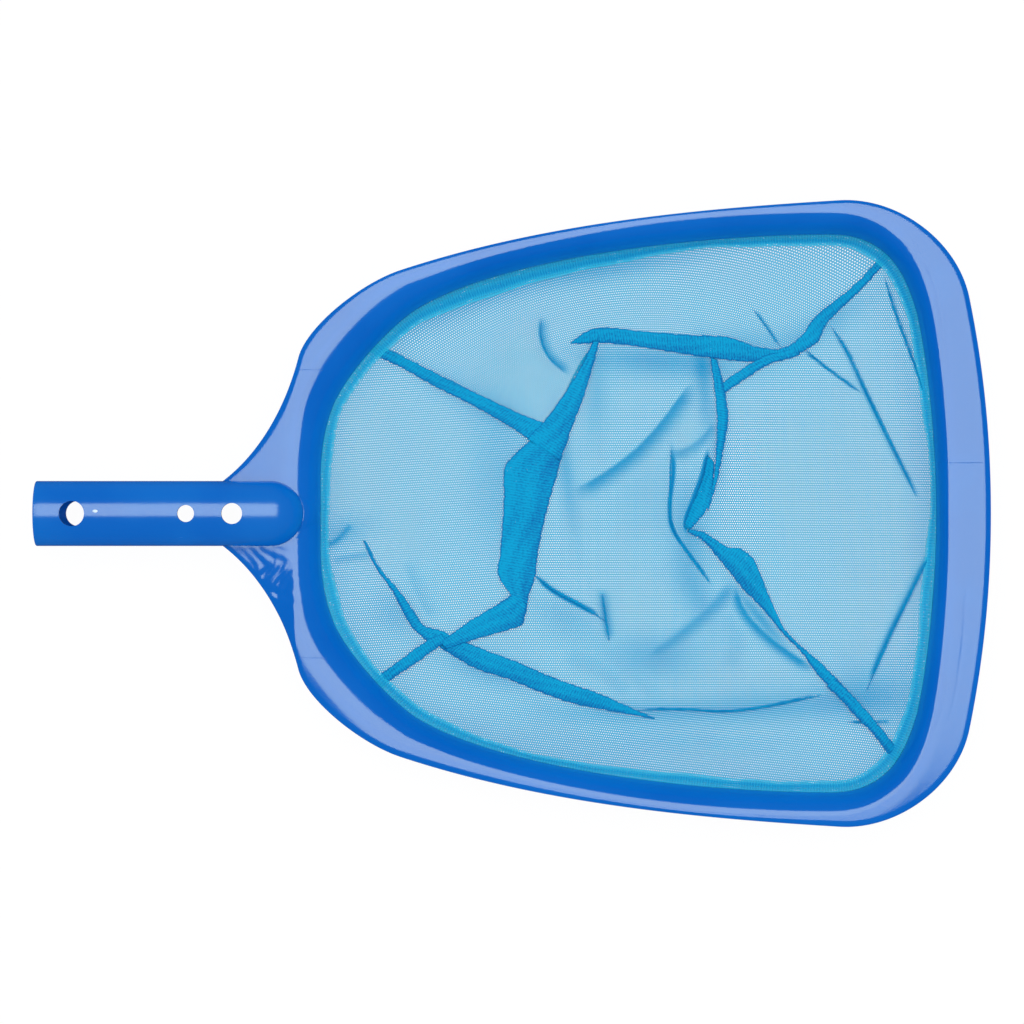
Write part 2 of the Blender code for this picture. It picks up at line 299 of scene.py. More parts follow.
def moulding_marks():
    """Slow flow marks, a fine grain and hairline scuffs, all from the piece's own coordinates."""
    make, given, out = new_group(
        "moulding_marks",
        [("Vector", VECTOR, None), ("Flow", FLOAT, 30.0), ("Grain", FLOAT, 2200.0), ("Scuffs", FLOAT, 0.3)],
        [("Flow", FLOAT), ("Scuff", FLOAT), ("Height", FLOAT)],
    )
    place = given.outputs["Vector"]
    flow = make.noise(place, given.outputs["Flow"], 3.0, 0.45)
    grain = make.noise(place, given.outputs["Grain"], 1.0)
    stretched = make.node("ShaderNodeMapping", None, Vector=place)
    stretched.inputs["Rotation"].default_value = (0.3, 0.2, 0.6)
    stretched.inputs["Scale"].default_value = (70.0, 1400.0, 500.0)
    hair = make.noise(stretched.outputs["Vector"], 1.0, 2.0, 0.6)
    patch = make.ramp(make.noise(place, 40.0, 2.0), 0.55, 0.72)
    scuff = make.math("MULTIPLY", make.ramp(hair, 0.66, 0.74), patch)
    scuff = make.math("MULTIPLY", scuff, given.outputs["Scuffs"])
    height = make.math("ADD", make.math("MULTIPLY", flow, 0.6), make.math("MULTIPLY", grain, 0.05))
    height = make.math("SUBTRACT", height, make.math("MULTIPLY", scuff, 0.25))
    make.feed(out.inputs["Flow"], flow)
    make.feed(out.inputs["Scuff"], scuff)
    make.feed(out.inputs["Height"], height)
    return make.tree


MOULDING = moulding_marks()

# %% Net weave
ROW_PITCH, ROW_SHIFT = 1.05, 0.38
HOLE_HEIGHT, LEAST_HOLE = 1.08, 0.01


def net_weave():
    """The knitted net: rows of oval holes, each row half a hole along from the last.

    In a cell of one pitch, d = sqrt((x / wide)^2 + (y / tall)^2) grows from the hole's middle, and the yarn
    starts where d passes 1. Crowding pulls the loops together, so the holes shrink.
    """
    make, given, out = new_group(
        "net_weave",
        [("Vector", VECTOR, None), ("Pitch", FLOAT, 0.0010), ("Hole", FLOAT, 0.30), ("Crowd", FLOAT, 0.0)],
        [("Yarn", FLOAT), ("Crown_highlight", FLOAT), ("Height", FLOAT)],
    )
    parts = make.node("ShaderNodeSeparateXYZ", None, Vector=given.outputs["Vector"])
    across = make.math("DIVIDE", parts.outputs["X"], given.outputs["Pitch"])
    up = make.math("DIVIDE", parts.outputs["Y"], make.math("MULTIPLY", given.outputs["Pitch"], ROW_PITCH))
    row = make.math("FLOOR", up)
    shift = make.math("MULTIPLY", make.math("FLOORED_MODULO", row, 2.0), ROW_SHIFT)
    x = make.math("SUBTRACT", make.math("FRACT", make.math("ADD", across, shift)), 0.5)
    y = make.math("SUBTRACT", make.math("FRACT", up), 0.5)
    closed = make.math("SUBTRACT", 1.0, make.math("MULTIPLY", given.outputs["Crowd"], 1.1))
    hole = make.math("MAXIMUM", make.math("MULTIPLY", given.outputs["Hole"], closed), LEAST_HOLE)
    wide = make.math("DIVIDE", x, hole)
    tall = make.math("DIVIDE", y, make.math("MULTIPLY", hole, HOLE_HEIGHT))
    square = make.math("ADD", make.math("MULTIPLY", wide, wide), make.math("MULTIPLY", tall, tall))
    distance = make.math("SQRT", square)
    yarn = make.ramp(distance, 0.88, 1.12)
    # The crown of each loop, where the cloth finish paints a highlight.
    loop = make.ramp(make.math("ABSOLUTE", x), 0.28, 0.5)
    make.feed(out.inputs["Yarn"], yarn)
    make.feed(out.inputs["Crown_highlight"], loop)
    make.feed(out.inputs["Height"], make.ramp(distance, 0.9, 1.5))
    return make.tree


WEAVE = net_weave()

# %% [markdown]
# ## Finishes
# The rim is a clear mid blue polypropylene with a soft gloss. The net's yarn is paler than the folds,
# because a single layer is lit from both sides, and a fold of three layers keeps the light out.

# %% Plastic finish


def new_material(name):
    """A material, short calls for its node tree, and its one shader."""
    made = bpy.data.materials.new(name)
    made.use_nodes = True
    made.node_tree.nodes.clear()
    make = Tree(made.node_tree)
    out = made.node_tree.nodes.new("ShaderNodeOutputMaterial")
    shader = make.node("ShaderNodeBsdfPrincipled")
    made.node_tree.links.new(shader.outputs["BSDF"], out.inputs["Surface"])
    return made, make, shader


def line_mark(make, place, start, stop, level, width):
    """1 on a hairline that runs in X from start to stop at Y = level, 0 off it."""
    parts = make.node("ShaderNodeSeparateXYZ", None, Vector=place)
    away = make.math("ABSOLUTE", make.math("SUBTRACT", parts.outputs["Y"], level))
    inside = make.math("GREATER_THAN", parts.outputs["X"], start)
    inside = make.math("MULTIPLY", inside, make.math("LESS_THAN", parts.outputs["X"], stop))
    return make.math("MULTIPLY", inside, make.ramp(away, 0.2 * width, width, 1.0, 0.0))


def plastic(name, colour, deep, gloss, flow, bump, scuffs, lines=()):
    """Moulded plastic: its colour drifts with the flow, scuffs are duller, and weld lines are sunk."""
    made, make, shader = new_material(name)
    place = make.node("ShaderNodeTexCoord").outputs["Object"]
    marks = make.node("ShaderNodeGroup", {"node_tree": MOULDING}, Vector=place, Flow=flow, Scuffs=scuffs)
    drift = make.ramp(marks.outputs["Flow"], 0.35, 0.65)
    make.feed(shader.inputs["Base Color"], make.blend(drift, deep, colour))
    rough = make.math("ADD", gloss, make.math("MULTIPLY", marks.outputs["Scuff"], 0.35))
    rough = make.math("ADD", rough, make.math("MULTIPLY", drift, 0.03))
    make.feed(shader.inputs["Roughness"], rough)
    shader.inputs["IOR"].default_value = 1.49
    relief = marks.outputs["Height"]
    for start, stop, level in lines:
        relief = make.math("SUBTRACT", relief, line_mark(make, place, start, stop, level, WELD_LINE_WIDTH))
    height = make.node("ShaderNodeBump", None, Height=relief)
    height.inputs["Strength"].default_value = bump
    height.inputs["Distance"].default_value = 0.0004
    make.feed(shader.inputs["Normal"], height.outputs["Normal"])
    return made


RIM_BLUE, RIM_DEEP = (0.0, 0.145, 0.60), (0.0, 0.130, 0.565)
SOCKET_BLUE = (0.0002, 0.150, 0.60)
# The gate mark's near-white colours are a painted glint, not the socket's own blue.
GATE_GLINT_PALE, GATE_GLINT_DEEP = (0.80, 0.90, 1.0), (0.62, 0.80, 0.98)
RING_BLUE, RING_DEEP = (0.0002, 0.125, 0.50), (0.0001, 0.112, 0.46)
THREAD_TEAL, THREAD_DEEP = (0.004, 0.42, 0.68), (0.0, 0.34, 0.60)
WELD_LINE_WIDTH = 0.00025
# Weld lines, where two streams of plastic met in the mould: from, to, and level.
WELD_LINES = ((-0.0995, -0.0865, 0.0662), (-0.0990, -0.0845, -0.0668), (0.1950, 0.2165, 0.0233))
rim_plastic = plastic("rim_plastic", RIM_BLUE, RIM_DEEP, gloss=0.12, flow=24.0, bump=0.2, scuffs=0.2,
                      lines=WELD_LINES)
socket_plastic = plastic("socket_plastic", SOCKET_BLUE, RIM_DEEP, gloss=0.17, flow=24.0, bump=0.2, scuffs=0.3)
gate_glint_plastic = plastic("gate_glint_plastic", GATE_GLINT_PALE, GATE_GLINT_DEEP, gloss=0.2, flow=400.0, bump=0.2, scuffs=0.0)
ring_plastic = plastic("ring_plastic", RING_BLUE, RING_DEEP, gloss=0.25, flow=40.0, bump=0.4, scuffs=0.5)
thread = plastic("thread", THREAD_TEAL, THREAD_DEEP, gloss=0.6, flow=900.0, bump=0.3, scuffs=0.0)

# %% Cloth finish
SHEER_FROM = -0.25


def cloth(name, yarn, shade, pitch, hole, thin=0.0, ribs=0.0, mottle=0.3, rough=0.62):
    """Net of knitted yarn: holes cut by the weave, a paler crown on each loop as a painted highlight, and a
    darker tone where the yarn crowds, which is mostly painted shade.

    The yarn is thin enough to let a share of the light through, less where it crowds. Below a crowding of
    SHEER_FROM it thins out further, and it is gone at -1.
    """
    made, make, shader = new_material(name)
    plane = make.node("ShaderNodeUVMap", {"uv_map": "cloth"}).outputs["UV"]
    crowd_and_shade_value = make.node("ShaderNodeAttribute", {"attribute_name": "crowd_and_shade"}).outputs["Fac"]
    weave = make.node("ShaderNodeGroup", {"node_tree": WEAVE}, Vector=plane, Pitch=pitch, Hole=hole,
                      Crowd=crowd_and_shade_value)
    drift = make.noise(plane, 55.0, 3.0)
    speckle = make.noise(plane, 900.0, 1.0)
    tone_and_shade = make.math("ADD", crowd_and_shade_value, make.math("MULTIPLY", make.math("SUBTRACT", drift, 0.5), 0.35))
    tone_and_shade = make.math("ADD", tone_and_shade, make.math("MULTIPLY", make.math("SUBTRACT", speckle, 0.5), mottle))
    if ribs:
        run = make.node("ShaderNodeSeparateXYZ", None, Vector=plane).outputs["X"]
        wander = make.math("MULTIPLY", make.noise(plane, 300.0, 1.0), 3.0)
        wave = make.math("SINE", make.math("ADD", make.math("MULTIPLY", run, 2 * pi / RIB_PITCH), wander))
        tone_and_shade = make.math("ADD", tone_and_shade, make.math("MULTIPLY", wave, ribs))
    tone_and_shade = make.math("MAXIMUM", make.math("MINIMUM", tone_and_shade, 1.0), 0.0)
    # The crowding deepens the colour towards the shade colour: painted shade in the creases, along the folds'
    # edges, in the hem's shadow band and in the shade patches. The drift and speckle are the yarn's own
    # random tone.
    colour = make.blend(tone_and_shade, yarn, shade)
    # Each loop's crown is painted paler: a painted highlight.
    crown_highlight_colour = tuple(min(1.0, part * 1.12 + 0.01) for part in yarn)
    colour = make.blend(make.math("MULTIPLY", weave.outputs["Crown_highlight"], 0.35), colour, crown_highlight_colour)
    make.feed(shader.inputs["Base Color"], colour)
    sheer = make.ramp(crowd_and_shade_value, -1.0, SHEER_FROM)
    body = make.math("MULTIPLY", weave.outputs["Yarn"], make.ramp(crowd_and_shade_value, 0.0, 0.8, 1.0 - thin, 1.0))
    make.feed(shader.inputs["Alpha"], make.math("MULTIPLY", body, sheer))
    fuzz = make.noise(plane, 2600.0, 1.0)
    make.feed(shader.inputs["Roughness"], make.math("ADD", rough, make.math("MULTIPLY", fuzz, 0.2)))
    shader.inputs["Specular IOR Level"].default_value = 0.06
    shader.inputs["Sheen Weight"].default_value = 0.04
    shader.inputs["Sheen Roughness"].default_value = 0.4
    shader.inputs["Sheen Tint"].default_value = (0.3, 0.8, 1.0, 1.0)
    height = make.math("ADD", weave.outputs["Height"], make.math("MULTIPLY", fuzz, 0.3))
    bump = make.node("ShaderNodeBump", None, Height=height)
    bump.inputs["Strength"].default_value = 0.5
    bump.inputs["Distance"].default_value = 0.0002
    make.feed(shader.inputs["Normal"], bump.outputs["Normal"])
    return made


RIB_PITCH = 0.0013
NET_YARN = (0.004, 0.415, 0.68)
NET_SHADE = (0.0, 0.22, 0.54)
FOLD_YARN = (0.0, 0.385, 0.70)
FOLD_SHADE = (0.0, 0.14, 0.43)
HEM_YARN = (0.02, 0.54, 0.82)
HEM_SHADE = (0.0, 0.26, 0.60)
NET_PITCH = 0.00104
bag_net = cloth("bag_net", NET_YARN, NET_SHADE, NET_PITCH, 0.225, thin=0.125)
folded_net = cloth("folded_net", FOLD_YARN, FOLD_SHADE, NET_PITCH, 0.10, ribs=0.24, mottle=1.5)
hem_net = cloth("hem_net", HEM_YARN, HEM_SHADE, NET_PITCH, 0.17, thin=0.08, ribs=0.22, mottle=0.5)

# %% Table and lights
TABLE_SIZE = 6.0
TABLE_GLOW = 0.965
TABLE_WHITE, TABLE_SHADE = (0.045, 0.045, 0.045), (0.040, 0.040, 0.040)


def add_table():
    """A white table under the net that glows a little, as a light table does."""
    half = TABLE_SIZE / 2
    grid = np.array([[[-half, -half, 0.0], [half, -half, 0.0]], [[-half, half, 0.0], [half, half, 0.0]]])
    table = surface("table", grid, facing="up")
    made, make, shader = new_material("table_white")
    place = make.node("ShaderNodeTexCoord").outputs["Object"]
    make.feed(shader.inputs["Base Color"], make.blend(make.noise(place, 3.0), TABLE_WHITE, TABLE_SHADE))
    shader.inputs["Roughness"].default_value = 0.9
    shader.inputs["Specular IOR Level"].default_value = 0.0
    shader.inputs["Emission Color"].default_value = (1.0, 1.0, 1.0, 1.0)
    shader.inputs["Emission Strength"].default_value = TABLE_GLOW
    table.data.materials.append(made)
    table.visible_glossy = False


SOFTBOX_TILT = np.radians(13.0)
SOFTBOX_DISTANCE = 2.4
SOFTBOX_SIZE = (2.0, 1.94)
GLOSS_RADIANCE, FILL_RADIANCE = 6.0, 2.5
GLOSS_TINT, FILL_TINT = (0.91, 1.02, 0.78), (1.0, 0.99, 0.98)
ROOM_LIGHT, ROOM_GLOSS = 0.74, 0.04


def add_softbox(name, radiance, tint, glossy):
    """One large panel of even light, square to the line from the net. Power = radiance * pi * area.

    One panel is seen by glossy reflections only, and its twin by soft shading only, so that each has its own
    strength.
    """
    light = bpy.data.lights.new(name, "AREA")
    light.shape = "RECTANGLE"
    light.size, light.size_y = SOFTBOX_SIZE
    light.energy = radiance * pi * SOFTBOX_SIZE[0] * SOFTBOX_SIZE[1]
    light.color = tint
    holder = bpy.data.objects.new(name, light)
    holder.location = (0.0, SOFTBOX_DISTANCE * np.sin(SOFTBOX_TILT), SOFTBOX_DISTANCE * np.cos(SOFTBOX_TILT))
    holder.rotation_euler = (-SOFTBOX_TILT, 0.0, 0.0)
    holder.visible_glossy = glossy
    holder.visible_diffuse = not glossy
    bpy.context.scene.collection.objects.link(holder)


def add_world():
    """A pale room for the camera, and a dimmer one for light and reflections."""
    world = bpy.data.worlds.new("studio")
    world.use_nodes = True
    bpy.context.scene.world = world
    world.node_tree.nodes.clear()
    make = Tree(world.node_tree)
    path = make.node("ShaderNodeLightPath")
    strength = make.math("MULTIPLY", path.outputs["Is Diffuse Ray"], ROOM_LIGHT)
    strength = make.math("ADD", strength, make.math("MULTIPLY", path.outputs["Is Glossy Ray"], ROOM_GLOSS))
    strength = make.math("ADD", strength, path.outputs["Is Camera Ray"])
    room = make.node("ShaderNodeBackground", None, Color=(0.97, 0.98, 1.0, 1.0), Strength=strength)
    out = world.node_tree.nodes.new("ShaderNodeOutputWorld")
    world.node_tree.links.new(room.outputs[0], out.inputs["Surface"])


add_table()
add_softbox("softbox_gloss", GLOSS_RADIANCE, GLOSS_TINT, True)
add_softbox("softbox_fill", FILL_RADIANCE, FILL_TINT, False)
add_world()

# %% [markdown]
# ## Rim
# The rim is one section carried round a D-shaped path: a rolled outer lip, a level flange and a
# bell-shaped wall that runs down to its foot. Both edges of the path are cubic curves, joined in pairs,
# so the flange is wide at the far edge and at the webs, and narrow along the sides.

# %% Path of the rim
# For each stretch of one half: outer edge curve, inner edge curve at the foot, wall width at both ends
# and number of steps.
HALF_RIM = (
    # the web that flares from the socket
    (((-0.1346, 0.0150), (-0.1164, 0.0287), (-0.1050, 0.0505), (-0.0995, 0.0720)),
     ((-0.0898, 0.0162), (-0.0898, 0.0283), (-0.0880, 0.0404), (-0.0837, 0.0508)),
     (0.0120, 0.0124), 54),
    # the shoulder
    (((-0.0995, 0.0720), (-0.0958, 0.0864), (-0.0706, 0.1064), (-0.0524, 0.1124)),
     ((-0.0837, 0.0508), (-0.0792, 0.0616), (-0.0635, 0.0818), (-0.0465, 0.0942)),
     (0.0124, 0.0114), 48),
    # the long side
    (((-0.0524, 0.1124), (0.0130, 0.1340), (0.0833, 0.1407), (0.1506, 0.1447)),
     ((-0.0465, 0.0942), (-0.0064, 0.1200), (0.0923, 0.1301), (0.1485, 0.1298)),
     (0.0114, 0.0098), 80),
    # the far corner
    (((0.1506, 0.1447), (0.1774, 0.1463), (0.2052, 0.1262), (0.2106, 0.0995)),
     ((0.1485, 0.1298), (0.1775, 0.1296), (0.1839, 0.1062), (0.1879, 0.0929)),
     (0.0098, 0.0060), 64),
    # the far edge
    (((0.2106, 0.0995), (0.2174, 0.0661), (0.2205, 0.0344), (0.2205, 0.0000)),
     ((0.1879, 0.0929), (0.1929, 0.0707), (0.1968, 0.0333), (0.1968, 0.0000)),
     (0.0060, 0.0042), 40),
)
NOTCH_RADIUS = SOCKET_RADIUS - SOCKET_WALL / 2
NOTCH_STEPS = 30
NOTCH_TURN = 0.55
NEAR_WALL = (0.0124, 0.0120)


def notch():
    """The stretch inside the socket: the flange's edge stays within the socket's wall, clear of its bore.

    It follows a quarter circle round the nose's middle for the share NOTCH_TURN of its steps, then a straight
    line back along the tube.
    """
    t = np.arange(NOTCH_STEPS) / NOTCH_STEPS
    web_root = np.array(HALF_RIM[0][0][0])
    angle = np.minimum(t / NOTCH_TURN, 1.0) * pi / 2
    back = np.maximum(t - NOTCH_TURN, 0.0) / (1.0 - NOTCH_TURN)
    x = NOSE_CENTRE + NOTCH_RADIUS * np.cos(angle) + (web_root[0] - NOSE_CENTRE) * back
    outer = np.column_stack([x, NOTCH_RADIUS * np.sin(angle)])
    foot = np.array(HALF_RIM[0][1][0])
    inner = np.column_stack([np.full(NOTCH_STEPS, foot[0]), foot[1] * t])
    return outer, inner, NEAR_WALL[0] + (NEAR_WALL[1] - NEAR_WALL[0]) * t


def rim_path():
    """Outer edge, inner edge and wall width at every station round the closed rim, the left half first."""
    outer, inner, wall = ([part] for part in notch())
    for outer_curve, inner_curve, width, steps in HALF_RIM:
        t = np.arange(steps) / steps
        outer.append(cubic(outer_curve, t))
        inner.append(cubic(inner_curve, t))
        wall.append(width[0] + (width[1] - width[0]) * t)
    last = HALF_RIM[-1]
    outer = np.vstack([*outer, [last[0][3]]])
    inner = np.vstack([*inner, [last[1][3]]])
    wall = np.append(np.concatenate(wall), last[2][1])
    mirror = np.array([1.0, -1.0])
    return (
        np.vstack([outer, outer[-2:0:-1] * mirror]),
        np.vstack([inner, inner[-2:0:-1] * mirror]),
        np.concatenate([wall, wall[-2:0:-1]]),
    )


SHOULDER, SPREAD, SPREAD_REACH = (-0.084, 0.086), 0.0046, 0.042


def shoulder_spread(outer):
    """The wall leans out further at the two shoulders: SPREAD * exp(-(d / reach)^4) more."""
    away = np.linalg.norm(np.abs(outer) - np.abs(SHOULDER), axis=1)
    return SPREAD * np.exp(-((away / SPREAD_REACH) ** 4))


rim_outer, rim_inner, rim_wall = rim_path()
rim_wall = rim_wall + shoulder_spread(rim_outer) * (rim_outer[:, 0] < 0)
print("rim stations:", len(rim_outer))

# %% Section of the rim
RIM_SKIN = 0.0022
LIP_DROP, LIP_ROUND, LIP_WIDE = 0.0034, 0.0012, 0.0030
LEVEL_STRIP, CROWN_SOFTNESS = 0.0048, 0.0012
WEB_SLOPE, SIDE_SLOPE = 0.115, 0.035
FLANGE_STEPS, WALL_STEPS, ROUND_STEPS = 26, 18, 10
SINK_DEPTH = 0.00020
WEB_ROOT, WEB_FALL = 0.0150, 0.075
WEB_CREST = (-0.1085, -0.1005)
WEB_END, WEB_BLEND = -0.102, 0.050
LEAST_FLANGE, FOOT_DROP = 0.0006, 0.0002
# Each groove: its line, its depth and its width.
GROOVES = (
    (((0.1811, 0.1294), (0.1861, 0.1221), (0.1908, 0.1142), (0.1949, 0.1031), (0.1981, 0.0847),
      (0.2000, 0.0653)),
     0.00012, 0.0008),
    (((0.1774, 0.1262), (0.1824, 0.1207), (0.1852, 0.1133)), 0.00016, 0.0008),
    (((0.2092, -0.0270), (0.2074, -0.0584), (0.2041, -0.0824), (0.2000, -0.0990)), 0.00009, 0.0007),
    (((0.2014, -0.0584), (0.1986, -0.0861), (0.1921, -0.1068)), 0.00006, 0.0007),
)


def crown(beyond, x):
    """How far the flange has dropped at a distance beyond the wall: level at first, then a slope.

    It is slope * (sqrt(d^2 + soft^2) + d) / 2 with d = beyond - LEVEL_STRIP. The slope is steeper on the
    webs.
    """
    d = beyond - LEVEL_STRIP
    share = np.clip((x - WEB_END) / WEB_BLEND, 0.0, 1.0)
    slope = WEB_SLOPE + (SIDE_SLOPE - WEB_SLOPE) * share**2 * (3 - 2 * share)
    return slope * (np.sqrt(d**2 + CROWN_SOFTNESS**2) + d) / 2


def rim_sections():
    """The rim's section at every station, as points.

    Across the band, from the outer edge: the lip is a quarter ellipse, LIP_WIDE by LIP_ROUND, the flange is
    crowned, and the wall is a quarter of an ellipse, foot + drop * cos(a) high and wall * (1 - sin(a)) from
    its foot. The underside repeats the same line one skin further in.
    """
    span = rim_outer - rim_inner
    band = np.linalg.norm(span, axis=1)[:, None]
    across = span / band
    wall = np.minimum(rim_wall[:, None], band - LEAST_FLANGE)
    lip = np.clip(0.6 * (band - wall), 0.0005, LIP_WIDE)
    quarter = np.linspace(0.0, pi / 2, ROUND_STEPS)[None, :]
    arc = np.linspace(0.0, pi / 2, WALL_STEPS)[None, :]
    share = np.linspace(0.0, 1.0, FLANGE_STEPS)[None, 1:-1]
    drop = CREST_HEIGHT - FOOT_HEIGHT
    level = np.ones_like(band)
    lip_out = band - lip * (1 - np.cos(quarter))
    lip_up = (CREST_HEIGHT - LIP_ROUND * (1 - np.sin(quarter))) * level
    flange_out = band - lip + (wall - band + lip) * share
    wall_out, wall_up = wall * (1 - np.sin(arc)), (FOOT_HEIGHT + drop * np.cos(arc)) * level
    under_edge = np.minimum(RIM_SKIN + wall, band - RIM_SKIN * 0.6 - LIP_ROUND)
    under_out = RIM_SKIN + (under_edge - RIM_SKIN) * (1 - np.sin(arc[:, ::-1]))
    under_up = (FOOT_HEIGHT + (drop - RIM_SKIN) * np.cos(arc[:, ::-1])) * level
    lip_under = band - RIM_SKIN * 0.6
    out = np.hstack([
        band, lip_out, flange_out, wall_out, 0.15 * RIM_SKIN * level, 0.85 * RIM_SKIN * level,
        under_out[:, 1:], lip_under, lip_under, band - 0.1 * RIM_SKIN,
    ])
    up = np.hstack([
        (CREST_HEIGHT - LIP_DROP) * level, lip_up, CREST_HEIGHT * np.ones_like(flange_out), wall_up,
        (FOOT_HEIGHT - FOOT_DROP) * level, (FOOT_HEIGHT - FOOT_DROP) * level, under_up[:, 1:],
        (CREST_HEIGHT - RIM_SKIN - 0.0002) * level, (CREST_HEIGHT - LIP_DROP) * level,
        (CREST_HEIGHT - LIP_DROP - 0.00015) * level,
    ])
    up -= crown(out - wall, rim_outer[:, :1])
    plan = rim_inner[:, None, :] + across[:, None, :] * out[:, :, None]
    return np.dstack([plan, up])


def sink_marks(points):
    """Shallow waves that cooling leaves in the right web and the far left corner.

    They are two crossed sines, faded by the distance from each place.
    """
    x, y = points[..., 0], points[..., 1]
    wave = np.sin(x * 880 + 2.4 * np.sin(y * 330)) * np.sin(y * 520 + 1.3 + 1.9 * np.sin(x * 260))
    web = np.exp(-(((x + 0.112) / 0.012) ** 2) - ((y + 0.034) / 0.017) ** 2)
    corner = 0.4 * np.exp(-(((x - 0.187) / 0.006) ** 2) - ((y - 0.118) / 0.012) ** 2)
    return SINK_DEPTH * wave * (web + corner)


def right_web_fall(points):
    """How far the right web has warped down as it cooled.

    It is fall * distance past the web's root, faded in away from the crest.
    """
    x, y = points[..., 0], points[..., 1]
    past = np.maximum(-y - WEB_ROOT, 0.0)
    share = np.clip((WEB_CREST[1] - x) / (WEB_CREST[1] - WEB_CREST[0]), 0.0, 1.0)
    return WEB_FALL * past * share**2 * (3 - 2 * share) * np.clip((x + 0.140) / 0.01, 0.0, 1.0)


def grooves(points):
    """Shallow flow grooves along the crest: each is -depth * exp(-(d / width)^2) from its line."""
    flat = points[..., :2].reshape(-1, 2)
    total = np.zeros(len(flat))
    near = np.where(points[..., 2].ravel() > CREST_HEIGHT - 0.004)[0]
    for line, depth, width in GROOVES:
        away, share = closest(flat[near], through(line, 120))
        total[near] -= depth * np.exp(-((away / width) ** 2)) * np.sin(pi * share) ** 0.5
    return total.reshape(points.shape[:-1])


sections = rim_sections()
high = np.clip((sections[..., 2] - CREST_HEIGHT + 0.006) / 0.003, 0.0, 1.0)
sections[..., 2] += high * (sink_marks(sections) + grooves(sections)) - right_web_fall(sections)
rim = surface("rim", sections, around=True, along=True)
finish_piece(rim, rim_plastic, "rim_plastic", "rim_frame")

# %% [markdown]
# ## Pole socket
# The socket is turned: one line, out along the tube and back inside it, spun about the tube's axis.
# Its nose is half a ball outside and in. The clip holes are then cut, and each hole's lower wall has a
# wider opening, because the core pin that formed it was drawn out from below.

# %% Turn the socket
SOCKET_SIDES = 144
NOSE_STEPS = 22
END_ROUND = 0.0005
# Clip holes: place along the tube, radius in the upper wall and in the lower wall, and the lower one's shift.
HOLES = (
    (-0.2026, 0.0058, 0.0058, 0.0),
    (-0.1503, 0.0039, 0.0055, -0.0020),
    (-0.1292, 0.0048, 0.0065, -0.0025),
)


def turned(name, profile, sides):
    """A closed solid spun about the socket's axis from a line of (x, radius) that starts and ends on it."""
    profile = np.array(profile)
    angle = 2 * pi * np.arange(sides) / sides
    grid = np.stack([
        np.repeat(profile[:, :1], sides, axis=1),
        profile[:, 1:] * np.cos(angle),
        SOCKET_AXIS + profile[:, 1:] * np.sin(angle),
    ], axis=-1)
    piece = surface(name, grid, around=True)
    weld(piece)
    return piece


def socket_line():
    """From the nose's tip over its outside to the open end, and back along the bore to the bore's own tip."""
    arc = np.linspace(0.0, pi / 2, NOSE_STEPS)
    bore = SOCKET_RADIUS - SOCKET_WALL
    nose = [(NOSE_CENTRE + SOCKET_RADIUS * np.cos(a), SOCKET_RADIUS * np.sin(a)) for a in arc]
    run = [(x, SOCKET_RADIUS) for x in np.linspace(NOSE_CENTRE, OPEN_END + END_ROUND, 40)[1:]]
    turn = np.linspace(0.0, pi / 2, 5)[1:]
    end = [(OPEN_END + END_ROUND * (1 - np.sin(a)), SOCKET_RADIUS - END_ROUND * (1 - np.cos(a)))
           for a in turn]
    end += [(OPEN_END + END_ROUND * (1 - np.cos(a)), bore + END_ROUND * (1 - np.sin(a))) for a in turn]
    back = [(x, bore) for x in np.linspace(OPEN_END + 2 * END_ROUND, NOSE_CENTRE, 40)]
    tip = [(NOSE_CENTRE + bore * np.sin(a), bore * np.cos(a)) for a in arc[1:]]
    return nose + run + end + back + tip


def upright_rod(name, x, radius, bottom, top, sides=64):
    """An upright round rod, closed at both ends, that stands in the socket's middle plane."""
    angle = 2 * pi * np.arange(sides) / sides
    ring = np.stack([x + radius * np.cos(angle), radius * np.sin(angle)], axis=-1)
    heights, shrink = (bottom, bottom, top, top), (0.0, 1.0, 1.0, 0.0)
    middle = np.array([x, 0.0])
    grid = np.stack([np.column_stack([middle + (ring - middle) * s, np.full(sides, z)])
                     for z, s in zip(heights, shrink)])
    piece = surface(name, grid, around=True)
    weld(piece)
    return piece


def cut_holes(piece):
    """Cuts the clip holes, upper and lower wall apart, and keeps the smooth shading of the tube."""
    tools = []
    past = SOCKET_RADIUS + 0.004
    for number, (x, upper, lower, shift) in enumerate(HOLES):
        tools.append(upright_rod(f"upper_{number}", x, upper, SOCKET_AXIS, SOCKET_AXIS + past))
        tools.append(upright_rod(f"lower_{number}", x + shift, lower, SOCKET_AXIS - past, SOCKET_AXIS))
    for tool in tools:
        modifier = piece.modifiers.new(tool.name, "BOOLEAN")
        modifier.operation = "DIFFERENCE"
        modifier.object = tool
    evaluated = piece.evaluated_get(bpy.context.evaluated_depsgraph_get())
    cut = bpy.data.meshes.new_from_object(evaluated)
    piece.modifiers.clear()
    piece.data = cut
    for tool in tools:
        bpy.data.objects.remove(tool)
    cut.shade_smooth()
    cut.set_sharp_from_angle(angle=pi / 5)


socket = turned("pole_socket", socket_line(), SOCKET_SIDES)
cut_holes(socket)
finish_piece(socket, socket_plastic, "rim_plastic", "rim_frame")

# %% Gate mark
GATE = (-0.1917, 0.0011)
GATE_LONG, GATE_WIDE, GATE_HEIGHT = 0.0014, 0.0009, 0.00030


